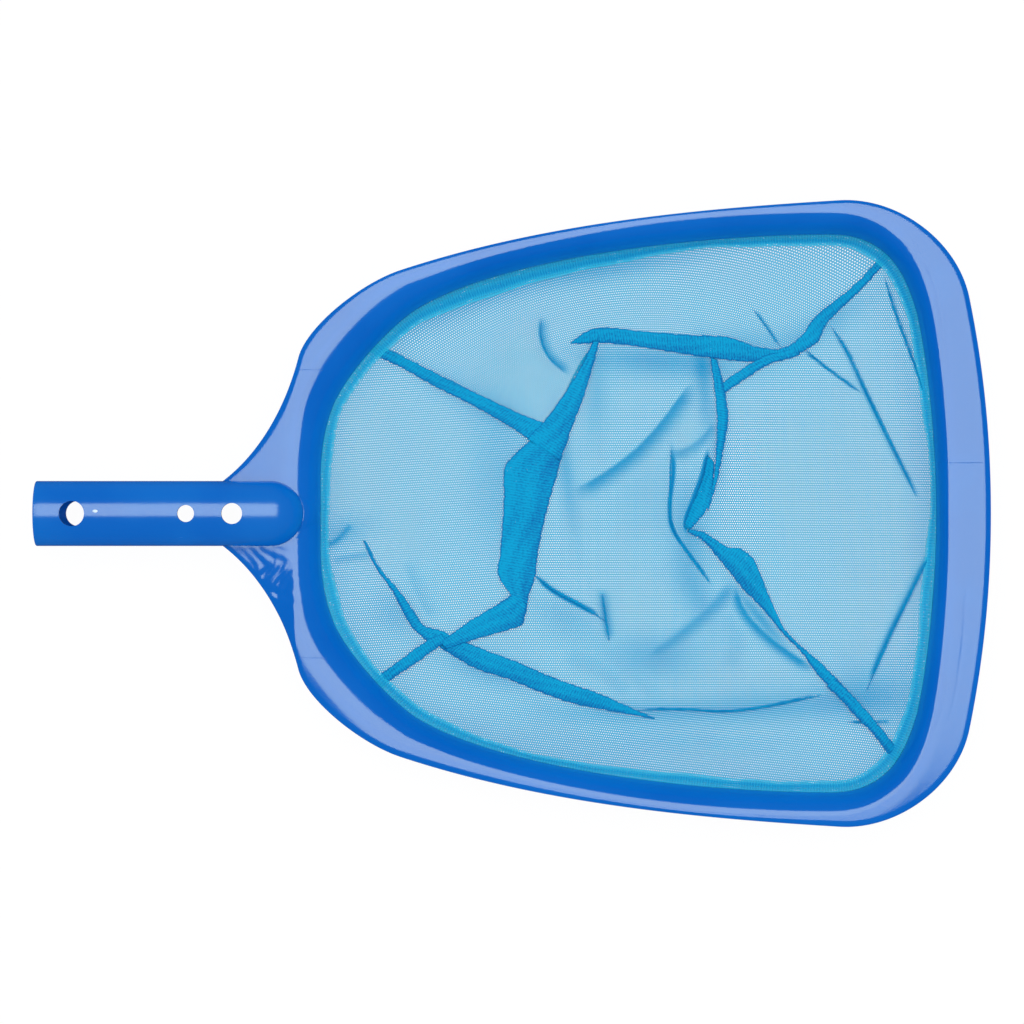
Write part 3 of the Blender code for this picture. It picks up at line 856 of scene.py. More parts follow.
def gate_mark():
    """The pip where the plastic entered the mould: a low round cap, height * (1 - r^2) over its radius. Its
    pale colour is a painted glint.
    """
    share = np.linspace(0.0, 1.0, 8)
    angle = 2 * pi * np.arange(32) / 32
    x = GATE[0] + GATE_LONG * share[:, None] * np.cos(angle)
    y = GATE[1] + GATE_WIDE * share[:, None] * np.sin(angle)
    skin = SOCKET_AXIS + np.sqrt(SOCKET_RADIUS**2 - y**2)
    top = np.dstack([x, y, skin - 0.0001 + GATE_HEIGHT * (1 - share[:, None] ** 2)])
    under = np.dstack([x, y, skin - 0.0004])
    piece = surface("gate_mark", np.concatenate([top, under[::-1]]), around=True)
    weld(piece)
    return piece


finish_piece(gate_mark(), gate_glint_plastic, "rim_plastic", "rim_frame")

# %% [markdown]
# ## Rings that hold the bag
# Under the rim's wall lies a second ring, an L in section. The hem is pinched between the two, and a cord
# sewn into the hem sits behind the pinch, so the bag can't be pulled out.

# %% Rings along the foot


def offset_loop(loop, distance):
    """A closed loop moved outwards, square to its own direction; distance is one number or one per point."""
    along = np.roll(loop, -1, axis=0) - np.roll(loop, 1, axis=0)
    along /= np.linalg.norm(along, axis=1)[:, None]
    outward = np.column_stack([-along[:, 1], along[:, 0]])
    distance = np.asarray(distance, dtype=float).reshape(-1, 1)
    return loop + outward * np.broadcast_to(distance, (len(loop), 1))


RING_STATIONS = 420
foot_loop = evenly(np.vstack([rim_inner, rim_inner[:1]]), RING_STATIONS + 1)[:-1]
foot_run = running_length(np.vstack([foot_loop, foot_loop[:1]]))


def foot_ring(name, section):
    """A ring of one section round the rim's foot: section is a closed line of (offset outwards, height)."""
    loops = [np.column_stack([offset_loop(foot_loop, o), np.full(RING_STATIONS, z)]) for o, z in section]
    return surface(name, np.stack(loops, axis=1), around=True, along=True)


def round_corners(corners, radius, steps=4):
    """Each corner of a closed outline is replaced by a curve that starts and ends one radius away from it."""
    corners = np.array(corners)
    before, after = np.roll(corners, 1, axis=0), np.roll(corners, -1, axis=0)
    t = np.linspace(0.0, 1.0, steps)[:, None]
    outline = []
    for here, last, following in zip(corners, before, after):
        start = here + (last - here) / np.linalg.norm(last - here) * radius
        stop = here + (following - here) / np.linalg.norm(following - here) * radius
        outline.append((1 - t) ** 2 * start + 2 * (1 - t) * t * here + t**2 * stop)
    return np.vstack(outline)


SEAT_HEIGHT = 0.0025
RING_INSIDE, RING_STEP, RING_OUTSIDE = 0.0003, 0.0052, 0.0075
RING_CORNERS = (
    (RING_INSIDE, 0.0), (RING_OUTSIDE, 0.0), (RING_OUTSIDE, RING_TOP), (RING_STEP, RING_TOP),
    (RING_STEP, SEAT_HEIGHT), (RING_INSIDE, SEAT_HEIGHT),
)
CORD_OFFSET, CORD_HEIGHT, CORD_RADIUS = 0.0038, 0.0039, 0.0010
retaining_ring = foot_ring("snap_ring", round_corners(RING_CORNERS, 0.0005))
finish_piece(retaining_ring, ring_plastic, "ring_plastic", "retaining_ring")
turn = 2 * pi * np.arange(16) / 16
cord_section = np.column_stack([CORD_OFFSET + CORD_RADIUS * np.cos(turn),
                                CORD_HEIGHT + CORD_RADIUS * np.sin(turn)])
hem_cord = foot_ring("hem_cord_piece", cord_section)
finish_piece(hem_cord, thread, "hem_cord", "hem_cord")

# %% [markdown]
# ## Bag
# The bag is four walls and a floor, all of flat net. Lying on the table it can't hang, so it gathers: the
# corner seams run in from the hem, and the seams round the floor have folded over. Each panel is a patch
# stretched between its four edges, and one height function lays all of them on the table, so the panels
# meet without gaps. A fold is three layers of net, and is its own flattened piece on top.

# %% Seam lines in plan
HEM_WIDTH = 0.0056
HEM_SIDE_HEIGHT = 0.0030
NET_TUCK = 0.0008
hem_edge = offset_loop(foot_loop, NET_TUCK)
# Where the hem shows wider or narrower than usual: place, reach and how much.
HEM_SWELLS = (
    ((-0.0274, 0.1010), 0.030, 0.0030), ((0.0146, 0.1145), 0.036, 0.0022),
    ((0.1662, 0.1229), 0.022, 0.0012), ((0.1975, 0.0156), 0.034, -0.0026),
    ((-0.0913, -0.0030), 0.020, -0.0014), ((0.0146, -0.1150), 0.030, -0.0022),
    ((0.1825, -0.1173), 0.022, 0.0024), ((0.0869, 0.1285), 0.030, -0.0012),
    ((0.1919, -0.0404), 0.020, 0.0014), ((-0.0857, -0.0404), 0.016, 0.0010),
)


def hem_width():
    """The hem's width at each station: HEM_WIDTH, and amount * exp(-(d / reach)^2) for each swell."""
    width = HEM_WIDTH + 0.0003 * np.sin(foot_run[:-1] * 95) + 0.0002 * np.sin(foot_run[:-1] * 213 + 1.0)
    for place, reach, amount in HEM_SWELLS:
        away = np.linalg.norm(foot_loop - np.array(place), axis=1)
        width += amount * np.exp(-((away / reach) ** 2))
    return width


hem_widths = hem_width()

CORNER_SEAMS = {
    "near_left": ((-0.0623, 0.0763), (-0.0530, 0.0711), (-0.0344, 0.0613), (-0.0157, 0.0520),
                  (0.0030, 0.0417), (0.0216, 0.0305)),
    "far_left": ((0.1709, 0.1173), (0.1597, 0.1052), (0.1457, 0.0912), (0.1373, 0.0809), (0.1312, 0.0763)),
    "far_right": ((0.1779, -0.1127), (0.1671, -0.0996), (0.1569, -0.0870)),
    "near_right": ((-0.0600, -0.0777), (-0.0474, -0.0674), (-0.0344, -0.0590)),
}
FLOOR_EDGES = {
    "left": ((0.0216, 0.0305), (0.0286, 0.0483), (0.0347, 0.0646), (0.0389, 0.0809), (0.0589, 0.0814),
             (0.0823, 0.0786), (0.1056, 0.0753), (0.1312, 0.0763)),
    "far": ((0.1312, 0.0763), (0.1186, 0.0716), (0.0972, 0.0585), (0.0962, 0.0436), (0.0958, 0.0319),
            (0.0920, 0.0133), (0.0823, -0.0058), (0.0962, -0.0198),
            (0.1102, -0.0324), (0.1242, -0.0520), (0.1373, -0.0660), (0.1499, -0.0814), (0.1569, -0.0870)),
    "right": ((0.1569, -0.0870), (0.1471, -0.0837), (0.1182, -0.0898), (0.0990, -0.0921), (0.0776, -0.0912),
              (0.0589, -0.0921), (0.0403, -0.0879), (0.0170, -0.0805),
              (-0.0064, -0.0716), (-0.0344, -0.0590)),
    "near": ((-0.0344, -0.0590), (-0.0157, -0.0520), (-0.0008, -0.0450), (0.0058, -0.0366),
             (0.0072, -0.0217), (0.0090, 0.0016), (0.0146, 0.0203), (0.0216, 0.0305)),
}
SIDES = ("left", "far", "right", "near")
CORNERS = ("near_left", "far_left", "far_right", "near_right")

# %% Creases and swells of the cloth
# Each crease: its line, its height and width, how much the yarn crowds there, and how far the crowding
# reaches to the left and to the right of the line. The crowding also darkens the colour along the crease, as
# painted shade.
CREASES = (
    (((0.1126, 0.0949), (0.1186, 0.0865), (0.1242, 0.0781)), 0.0005, 0.0010, 0.9, 0.0005, 0.0006),
    (((0.1345, 0.0767), (0.1485, 0.0660), (0.1615, 0.0567)), 0.0005, 0.0010, 1.0, 0.0006, 0.0006),
    (((0.1466, 0.0898), (0.1560, 0.0753), (0.1653, 0.0548), (0.1765, 0.0315), (0.1905, 0.0044)),
     0.0010, 0.0016, 0.9, 0.0006, 0.0014),
    (((0.1727, 0.1108), (0.1783, 0.0921), (0.1872, 0.0679), (0.1951, 0.0436)),
     0.0010, 0.0016, 0.75, 0.0012, 0.0006),
    (((0.1961, -0.0147), (0.1858, -0.0357), (0.1746, -0.0590), (0.1643, -0.0833)),
     0.0012, 0.0020, 0.8, 0.0008, 0.0020),
    (((0.0552, -0.0912), (0.0776, -0.0912), (0.0990, -0.0921), (0.1182, -0.0898), (0.1471, -0.0837)),
     0.0009, 0.0014, 1.0, 0.0007, 0.0009),
    (((0.0841, 0.0632), (0.0669, 0.0403), (0.0533, 0.0268), (0.0356, 0.0147), (0.0244, 0.0100)),
     0.0026, 0.0050, 0.55, 0.0056, 0.0007),
    (((0.0734, 0.0343), (0.0743, 0.0203), (0.0725, 0.0040), (0.0734, -0.0063), (0.0785, -0.0147),
      (0.0934, -0.0348)), 0.0018, 0.0016, 1.0, 0.0012, 0.0008),
    (((0.0907, 0.0315), (0.0879, 0.0193), (0.0832, 0.0063), (0.0799, -0.0030), (0.0804, -0.0124)),
     0.0020, 0.0020, 0.9, 0.0016, 0.0010),
    (((0.0944, 0.0436), (0.0869, 0.0343), (0.0776, 0.0287), (0.0720, 0.0305)),
     0.0010, 0.0030, 0.4, 0.0040, 0.0012),
    (((0.0100, -0.0292), (0.0198, -0.0371), (0.0403, -0.0478)), 0.0010, 0.0016, 1.0, 0.0013, 0.0010),
    (((0.0407, -0.0348), (0.0421, -0.0460), (0.0445, -0.0599)), 0.0014, 0.0026, 0.45, 0.0034, 0.0020),
    (((0.1046, -0.0301), (0.0925, -0.0432), (0.0776, -0.0562), (0.0589, -0.0693)),
     0.0022, 0.0044, 0.42, 0.0048, 0.0026),
    (((0.1023, -0.0310), (0.1074, -0.0455), (0.1196, -0.0585), (0.1410, -0.0739)),
     0.0006, 0.0020, 0.62, 0.0012, 0.0032),
    (((0.0123, 0.0921), (0.0123, 0.0818), (0.0165, 0.0725), (0.0263, 0.0641)),
     0.0018, 0.0030, 0.55, 0.0034, 0.0006),
    (((-0.0885, -0.0152), (-0.0819, -0.0114), (-0.0754, -0.0040)), 0.0012, 0.0026, 0.6, 0.0010, 0.0024),
    (((-0.0857, -0.0217), (-0.0763, -0.0198), (-0.0661, -0.0180)), 0.0008, 0.0024, 0.3, 0.0010, 0.0030),
    (((-0.0511, -0.0217), (-0.0446, -0.0385), (-0.0372, -0.0506)), 0.0010, 0.0030, 0.16, 0.0050, 0.0010),
    (((0.1569, -0.0973), (0.1671, -0.0973), (0.1765, -0.0968)), 0.0006, 0.0014, 0.7, 0.0007, 0.0009),
    (((0.0496, -0.0660), (0.0636, -0.0823), (0.0720, -0.0898)), 0.0010, 0.0040, 0.14, 0.0060, 0.0050),
    (((0.0216, -0.0660), (0.0403, -0.0721), (0.0552, -0.0870)), 0.0010, 0.0040, 0.14, 0.0060, 0.0050),
    (((0.0962, -0.0450), (0.1037, -0.0590), (0.1000, -0.0739)), 0.0012, 0.0040, 0.14, 0.0050, 0.0060),
    (((-0.0297, 0.1089), (-0.0064, 0.1173), (0.0216, 0.1229)), 0.0004, 0.0040, 0.4, 0.0024, 0.0036),
)
# Each swell: its middle, its half lengths along and across, its turn in degrees and its height.
SWELLS = (
    ((0.0216, 0.0832), 0.012, 0.011, 0.0, 0.0042),
    ((-0.0390, 0.0203), 0.040, 0.030, 20.0, 0.0024),
    ((-0.0483, -0.0404), 0.020, 0.024, 0.0, 0.0020),
    ((-0.0204, 0.0902), 0.060, 0.012, 17.0, 0.0022),
    ((0.0869, 0.1112), 0.070, 0.014, 4.0, 0.0026),
    ((0.0589, 0.0553), 0.034, 0.016, 30.0, 0.0030),
    ((0.0823, 0.0389), 0.010, 0.030, 12.0, 0.0040),
    ((0.0589, -0.0217), 0.026, 0.040, -15.0, 0.0040),
    ((0.0869, -0.0637), 0.050, 0.018, 10.0, 0.0026),
    ((0.1429, 0.0389), 0.040, 0.030, 10.0, 0.0022),
    ((0.1382, -0.0264), 0.034, 0.045, 0.0, 0.0026),
    ((0.1825, 0.0296), 0.010, 0.060, 5.0, 0.0024),
    ((0.0403, -0.1057), 0.080, 0.012, -12.0, 0.0024),
    ((0.1149, -0.1103), 0.050, 0.012, -4.0, 0.0020),
)
CLOTH_REST = 0.0011
FREE_REACH, FALL_REACH = 0.018, 0.016
RIPPLE_HEIGHT = 0.00022


def oval(flat, middle, along, across, turned_by):
    """exp(-u^2 - v^2), where u and v are a point's steps along and across a turned oval, in half lengths."""
    angle = np.radians(turned_by)
    step = flat - np.array(middle)
    u = (step[:, 0] * np.cos(angle) + step[:, 1] * np.sin(angle)) / along
    v = (step[:, 1] * np.cos(angle) - step[:, 0] * np.sin(angle)) / across
    return np.exp(-(u**2) - v**2)


def cloth_height(points):
    """Height of the net over the table, for points in plan.

    It starts from the hem's height and falls off with the distance from the hem, rises over each swell as
    height * exp(-r^2), and stands up along each crease as height * exp(-(d / width)^2), faded at both ends.
    """
    flat = points.reshape(-1, 2)
    from_hem, _ = closest(flat, hem_edge)
    free = 1.0 - np.exp(-((from_hem / FREE_REACH) ** 2))
    fallen = 1.0 - np.exp(-((from_hem / FALL_REACH) ** 2))
    height = HEM_SIDE_HEIGHT + (CLOTH_REST - HEM_SIDE_HEIGHT) * fallen
    for middle, along, across, turned_by, rise in SWELLS:
        height += rise * oval(flat, middle, along, across, turned_by) * free
    for line, rise, width, *_ in CREASES:
        away, share = closest(flat, through(line, 80))
        ends = np.sin(pi * np.clip(share * 0.96 + 0.02, 0, 1)) ** 0.5
        height += rise * np.exp(-((away / width) ** 2)) * ends
    x, y = flat[:, 0], flat[:, 1]
    ripple = np.sin(x * 340 + 2.1 * np.sin(y * 130)) * np.sin(y * 290 + 1.7 * np.sin(x * 150))
    height += RIPPLE_HEIGHT * (1 + ripple) * free
    return height.reshape(points.shape[:-1])


# Painted shade and light on the net: soft patches where its colour darkens, as beside the folds and the
# hem, or pales, and its holes close or open with it: its place, its reach along and across, its turn in
# degrees, and how much darker and closer.
PAINTED_SHADE_PATCHES = (
    ((-0.0064, 0.0203), 0.015, 0.042, 0.0, 0.22),
    ((-0.0204, 0.0543), 0.032, 0.007, -27.0, 0.24),
    ((0.0683, 0.0707), 0.038, 0.007, -4.0, 0.42),
    ((0.0244, 0.0203), 0.004, 0.030, 8.0, 0.34),
    ((0.0823, -0.0100), 0.009, 0.024, 0.0, 0.34),
    ((0.0659, -0.0669), 0.024, 0.011, 0.0, 0.32),
    ((-0.0110, -0.0721), 0.024, 0.008, -18.0, 0.34),
    ((0.0543, -0.0926), 0.045, 0.006, 0.0, 0.30),
    ((0.1242, -0.0898), 0.045, 0.008, 3.0, 0.34),
    ((0.1625, -0.0823), 0.017, 0.014, 0.0, 0.28),
    ((0.1219, 0.1173), 0.040, 0.010, 3.0, -0.17),
    ((-0.0600, 0.0343), 0.022, 0.026, 30.0, -0.08),
    ((0.1079, 0.0795), 0.022, 0.007, 0.0, 0.26),
    ((0.0869, -0.0404), 0.007, 0.016, 30.0, 0.26),
    ((0.0244, -0.0488), 0.016, 0.009, -20.0, 0.20),
    ((0.0384, 0.0553), 0.006, 0.020, 0.0, 0.24),
    ((-0.0204, 0.0996), 0.040, 0.006, 22.0, 0.24),
    ((0.0356, 0.1136), 0.045, 0.006, 9.0, 0.26),
    ((0.1438, 0.0879), 0.024, 0.007, 32.0, 0.28),
    ((0.0888, 0.0585), 0.004, 0.022, 4.0, 0.36),
    ((0.1149, -0.0488), 0.020, 0.003, -50.0, 0.50),
    ((0.0636, 0.0063), 0.020, 0.020, 0.0, 0.12),
    ((-0.0553, -0.0460), 0.012, 0.010, -45.0, 0.22),
    ((-0.0763, -0.0077), 0.012, 0.006, 20.0, 0.22),
    ((0.0962, 0.0343), 0.004, 0.026, -4.0, 0.24),
    ((0.1732, -0.0870), 0.010, 0.020, -30.0, 0.06),
    ((0.0449, -0.0310), 0.012, 0.012, 0.0, -0.06),
    ((0.0823, -0.1066), 0.060, 0.007, -3.0, 0.16),
)


HEM_CROWD, HEM_CROWD_REACH = 0.20, 0.012
# A crease's crowding also darkens the yarn's colour: painted shade.
CREASE_CROWD_AND_SHADE = 1.15


def crowding_and_shade(points):
    """How closely the yarn crowds, which also darkens its colour: 0 for the plain net, about 1 in a crease.

    The net crowds towards the hem, and each painted shade patch adds to it or takes from it. A crease gives
    strength * exp(-(d / reach)^2), where that is more. Its reach differs on its two sides, and its ends fade.
    The darker colour in the creases and in the patches is painted shade.
    """
    flat = points.reshape(-1, 2)
    from_hem, _ = closest(flat, hem_edge)
    total = HEM_CROWD * np.exp(-((from_hem / HEM_CROWD_REACH) ** 2))
    for place, along, across, turned_by, amount in PAINTED_SHADE_PATCHES:
        total += amount * oval(flat, place, along, across, turned_by)
    for line, _, _, strength, reach_left, reach_right in CREASES:
        path = through(line, 80)
        away, share = closest(flat, path)
        index = np.round(share * 79).astype(int)
        along = np.gradient(path, axis=0)[index]
        step = flat - path[index]
        on_left = along[:, 0] * step[:, 1] - along[:, 1] * step[:, 0] > 0
        reach = np.where(on_left, reach_left, reach_right)
        ends = np.clip(np.minimum(share, 1 - share) * 7, 0.0, 1.0)
        total = np.maximum(total, CREASE_CROWD_AND_SHADE * strength * np.exp(-((away / reach) ** 2)) * ends)
    return total.reshape(points.shape[:-1])


# %% Panels of the bag


def patch(bottom, top, left, right):
    """A Coons patch: the blend of two ruled surfaces less the bilinear one through the corners.

    bottom and top run along u, left and right run along v from bottom to top.
    """
    u = np.linspace(0.0, 1.0, len(bottom))[None, :, None]
    v = np.linspace(0.0, 1.0, len(left))[:, None, None]
    ruled = (1 - v) * bottom[None] + v * top[None] + (1 - u) * left[:, None] + u * right[:, None]
    near, far = (1 - u) * bottom[0] + u * bottom[-1], (1 - u) * top[0] + u * top[-1]
    return ruled - (1 - v) * near - v * far


def hem_points(first, last, count):
    """The hem's edge between two of its stations, going round with the walls."""
    last += RING_STATIONS if last < first else 0
    return evenly(hem_edge[np.arange(first, last + 1) % RING_STATIONS], count)


def weave_places(plan, turned_by, centre):
    """Cloth coordinates: those in plan turned by an angle, or, round a centre, R (angle, ln(r / R))."""
    if centre is None:
        angle = np.radians(turned_by)
        return plan @ np.array([[np.cos(angle), -np.sin(angle)], [np.sin(angle), np.cos(angle)]])
    step = plan - np.array(centre)
    radius = np.linalg.norm(step, axis=-1)
    bearing = -np.arctan2(step[..., 0], step[..., 1])
    return WEAVE_RADIUS * np.stack([bearing, np.log(radius / WEAVE_RADIUS)], axis=-1)


def lay_panel(name, plan, weave, nodes):
    """Lays a patch on the table and gives it its height, its crowding with its painted shade, and its cloth
    coordinates.
    """
    grid = np.dstack([plan, cloth_height(plan)])
    piece = surface(name, grid, uv=weave_places(plan, *weave), values={"crowd_and_shade": crowding_and_shade(plan)}, facing="up")
    finish_piece(piece, bag_net, "bag_mesh", *nodes)
    return piece


def cloth_area(piece):
    """The area of a piece's faces, in square metres."""
    areas = np.empty(len(piece.data.polygons))
    piece.data.polygons.foreach_get("area", areas)
    return float(areas.sum())


WEAVE_RADIUS = 0.170
# How the weave lies in each panel: its turn in degrees, and the place that its rows run round, if any.
WEAVES = {
    "left": (0.0, (0.0636, -0.0660)), "far": (-0.5, None), "right": (-7.0, None),
    "near": (4.0, None), "floor": (0.0, None),
}
hem_station = {}
for corner in CORNERS:
    start = np.array(CORNER_SEAMS[corner][0])
    hem_station[corner] = int(np.argmin(np.linalg.norm(hem_edge - start, axis=1)))
seam_lines = {}
for corner in CORNERS:
    points = [hem_edge[hem_station[corner]], *CORNER_SEAMS[corner][1:]]
    seam_lines[corner] = through(points, 70)
floor_lines = {side: through(FLOOR_EDGES[side], 200) for side in SIDES}

panels = {}
for number, side in enumerate(SIDES):
    first, last = CORNERS[number], CORNERS[(number + 1) % 4]
    hem_line = hem_points(hem_station[first], hem_station[last], 200)
    plan = patch(hem_line, floor_lines[side], seam_lines[first], seam_lines[last])
    panels[side] = lay_panel(f"{side}_wall_net", plan, WEAVES[side], [f"bag_{side}_wall"])
floor_plan = patch(
    evenly(floor_lines["right"][::-1], 200), floor_lines["left"],
    evenly(floor_lines["near"], 150), evenly(floor_lines["far"][::-1], 150),
)
panels["floor"] = lay_panel("floor_net", floor_plan, WEAVES["floor"], ["bag_floor"])
for label, piece in panels.items():
    print(label, "net area", round(cloth_area(piece) * 1e4, 1), "cm2")

# %% Folded bands
# Each band: the node it stands for, its two edges as pairs of points (one side, other side) along its length,
# and how much deeper the colour is at its other side.
BANDS = {
    "left_floor_fold": ("floor_seam_left", (
        ((0.0375, 0.0865), (0.0389, 0.0795)), ((0.0473, 0.0865), (0.0473, 0.0791)),
        ((0.0589, 0.0851), (0.0589, 0.0777)), ((0.0823, 0.0832), (0.0823, 0.0739)),
        ((0.1000, 0.0823), (0.1000, 0.0716)), ((0.1121, 0.0781), (0.1121, 0.0707)),
        ((0.1238, 0.0767), (0.1238, 0.0711)), ((0.1326, 0.0800), (0.1336, 0.0739)),
    ), 0.55),
    "near_left_corner_fold": ("corner_seam_near_left", (
        ((-0.0679, 0.0809), (-0.0712, 0.0772)), ((-0.0586, 0.0767), (-0.0619, 0.0725)),
        ((-0.0483, 0.0716), (-0.0511, 0.0674)), ((-0.0344, 0.0646), (-0.0372, 0.0595)),
        ((-0.0157, 0.0553), (-0.0185, 0.0501)), ((0.0034, 0.0464), (-0.0008, 0.0399)),
        ((0.0146, 0.0417), (0.0072, 0.0343)), ((0.0216, 0.0343), (0.0146, 0.0287)),
    ), 0.35),
    "wedge_fold": ("floor_seam_left", (
        ((0.0370, 0.0804), (0.0398, 0.0804)), ((0.0319, 0.0693), (0.0375, 0.0707)),
        ((0.0244, 0.0571), (0.0323, 0.0534)), ((0.0151, 0.0441), (0.0267, 0.0389)),
        ((0.0095, 0.0385), (0.0244, 0.0315)), ((0.0062, 0.0347), (0.0212, 0.0245)),
    ), 0.45),
    "corner_flap": ("floor_seam_left", (
        ((0.0267, 0.0800), (0.0267, 0.0791)), ((0.0295, 0.0818), (0.0300, 0.0791)),
        ((0.0328, 0.0842), (0.0333, 0.0791)), ((0.0365, 0.0860), (0.0370, 0.0795)),
        ((0.0403, 0.0865), (0.0403, 0.0795)),
    ), 0.3),
    "near_floor_fold": ("floor_seam_near", (
        ((0.0072, 0.0338), (0.0249, 0.0338)), ((-0.0008, 0.0263), (0.0221, 0.0254)),
        ((-0.0045, 0.0203), (0.0202, 0.0179)), ((-0.0045, 0.0077), (0.0174, 0.0086)),
        ((-0.0054, -0.0077), (0.0142, -0.0040)), ((-0.0064, -0.0198), (0.0114, -0.0180)),
        ((-0.0073, -0.0287), (0.0100, -0.0296)), ((-0.0017, -0.0376), (0.0072, -0.0380)),
        ((-0.0003, -0.0422), (0.0058, -0.0464)),
    ), 0.5),
    "near_right_floor_fold": ("floor_seam_near", (
        ((-0.0008, -0.0371), (0.0062, -0.0422)), ((-0.0031, -0.0394), (0.0044, -0.0511)),
        ((-0.0120, -0.0450), (-0.0012, -0.0539)), ((-0.0213, -0.0506), (-0.0110, -0.0567)),
        ((-0.0297, -0.0567), (-0.0190, -0.0590)), ((-0.0353, -0.0595), (-0.0316, -0.0632)),
    ), 0.4),
    "right_floor_fold": ("floor_seam_right", (
        ((-0.0288, -0.0571), (-0.0353, -0.0618)), ((-0.0222, -0.0599), (-0.0288, -0.0660)),
        ((-0.0110, -0.0646), (-0.0171, -0.0725)), ((0.0006, -0.0688), (-0.0026, -0.0772)),
        ((0.0146, -0.0749), (0.0123, -0.0833)), ((0.0267, -0.0795), (0.0272, -0.0884)),
        ((0.0393, -0.0837), (0.0403, -0.0912)), ((0.0552, -0.0907), (0.0533, -0.0935)),
        ((0.0659, -0.0954), (0.0655, -0.0959)),
    ), 0.6),
    "near_wall_tuck": ("floor_seam_near", (
        ((-0.0689, -0.0128), (-0.0703, -0.0128)), ((-0.0623, -0.0254), (-0.0647, -0.0245)),
        ((-0.0535, -0.0357), (-0.0563, -0.0366)), ((-0.0474, -0.0441), (-0.0521, -0.0450)),
        ((-0.0418, -0.0520), (-0.0474, -0.0529)), ((-0.0330, -0.0548), (-0.0400, -0.0595)),
        ((-0.0288, -0.0576), (-0.0344, -0.0623)),
    ), 0.5),
    "near_right_corner_fold": ("corner_seam_near_right", (
        ((-0.0661, -0.0777), (-0.0628, -0.0828)), ((-0.0595, -0.0730), (-0.0567, -0.0772)),
        ((-0.0530, -0.0683), (-0.0497, -0.0725)), ((-0.0474, -0.0641), (-0.0441, -0.0688)),
        ((-0.0400, -0.0590), (-0.0353, -0.0623)), ((-0.0334, -0.0557), (-0.0306, -0.0599)),
    ), 0.35),
    "far_left_corner_fold": ("corner_seam_far_left", (
        ((0.1746, 0.1243), (0.1783, 0.1215)), ((0.1681, 0.1164), (0.1709, 0.1140)),
        ((0.1583, 0.1061), (0.1615, 0.1038)), ((0.1415, 0.0926), (0.1466, 0.0893)),
        ((0.1350, 0.0837), (0.1420, 0.0804)), ((0.1289, 0.0786), (0.1336, 0.0749)),
        ((0.1224, 0.0763), (0.1242, 0.0711)),
    ), 0.4),
    "far_tuck": ("floor_seam_far", (
        ((0.1224, 0.0753), (0.1261, 0.0721)), ((0.1158, 0.0730), (0.1177, 0.0688)),
        ((0.1065, 0.0674), (0.1088, 0.0632)), ((0.0967, 0.0604), (0.0986, 0.0562)),
        ((0.0934, 0.0567), (0.0962, 0.0539)),
    ), 0.35),
    "far_floor_fold": ("floor_seam_far", (
        ((0.0916, 0.0730), (0.0948, 0.0716)), ((0.0925, 0.0660), (0.0967, 0.0651)),
        ((0.0939, 0.0557), (0.0986, 0.0557)), ((0.0948, 0.0445), (0.1000, 0.0445)),
        ((0.0944, 0.0319), (0.0981, 0.0319)), ((0.0930, 0.0156), (0.0948, 0.0151)),
        ((0.0902, 0.0016), (0.0907, 0.0012)),
    ), 0.45),
    "far_gather": ("floor_seam_far", (
        ((0.0902, 0.0273), (0.0934, 0.0240)), ((0.0883, 0.0179), (0.0930, 0.0147)),
        ((0.0851, 0.0086), (0.0911, 0.0040)), ((0.0813, 0.0002), (0.0855, -0.0040)),
        ((0.0795, -0.0058), (0.0818, -0.0077)),
    ), 0.15),
    "far_right_floor_fold": ("floor_seam_far", (
        ((0.0818, -0.0072), (0.0809, -0.0086)), ((0.0893, -0.0091), (0.0883, -0.0128)),
        ((0.0990, -0.0152), (0.0953, -0.0208)), ((0.1060, -0.0166), (0.1014, -0.0282)),
        ((0.1121, -0.0217), (0.1065, -0.0348)), ((0.1168, -0.0329), (0.1135, -0.0418)),
        ((0.1219, -0.0450), (0.1196, -0.0488)), ((0.1266, -0.0543), (0.1256, -0.0562)),
        ((0.1350, -0.0627), (0.1340, -0.0646)), ((0.1438, -0.0702), (0.1415, -0.0749)),
        ((0.1560, -0.0828), (0.1522, -0.0861)), ((0.1578, -0.0861), (0.1550, -0.0889)),
    ), 0.7),
    "far_right_corner_fold": ("corner_seam_far_right", (
        ((0.1494, -0.0767), (0.1457, -0.0805)), ((0.1560, -0.0828), (0.1527, -0.0870)),
        ((0.1634, -0.0907), (0.1597, -0.0949)), ((0.1709, -0.0996), (0.1676, -0.1029)),
        ((0.1797, -0.1103), (0.1760, -0.1141)), ((0.1858, -0.1173), (0.1825, -0.1210)),
    ), 0.6),
}
BAND_LIFT, BAND_STEP, BAND_HALF_THICKNESS = 0.0007, 0.0004, 0.00050
BAND_ROW_STEP = 0.0008
BAND_SIDES = 28
EDGE_WANDER, EDGE_SHADE = 0.00011, 0.0009
SLIM_BAND = 0.0024
RISE_REACH = 0.012
RIB_HEIGHT, RIB_STEP = 0.00004, 0.0026


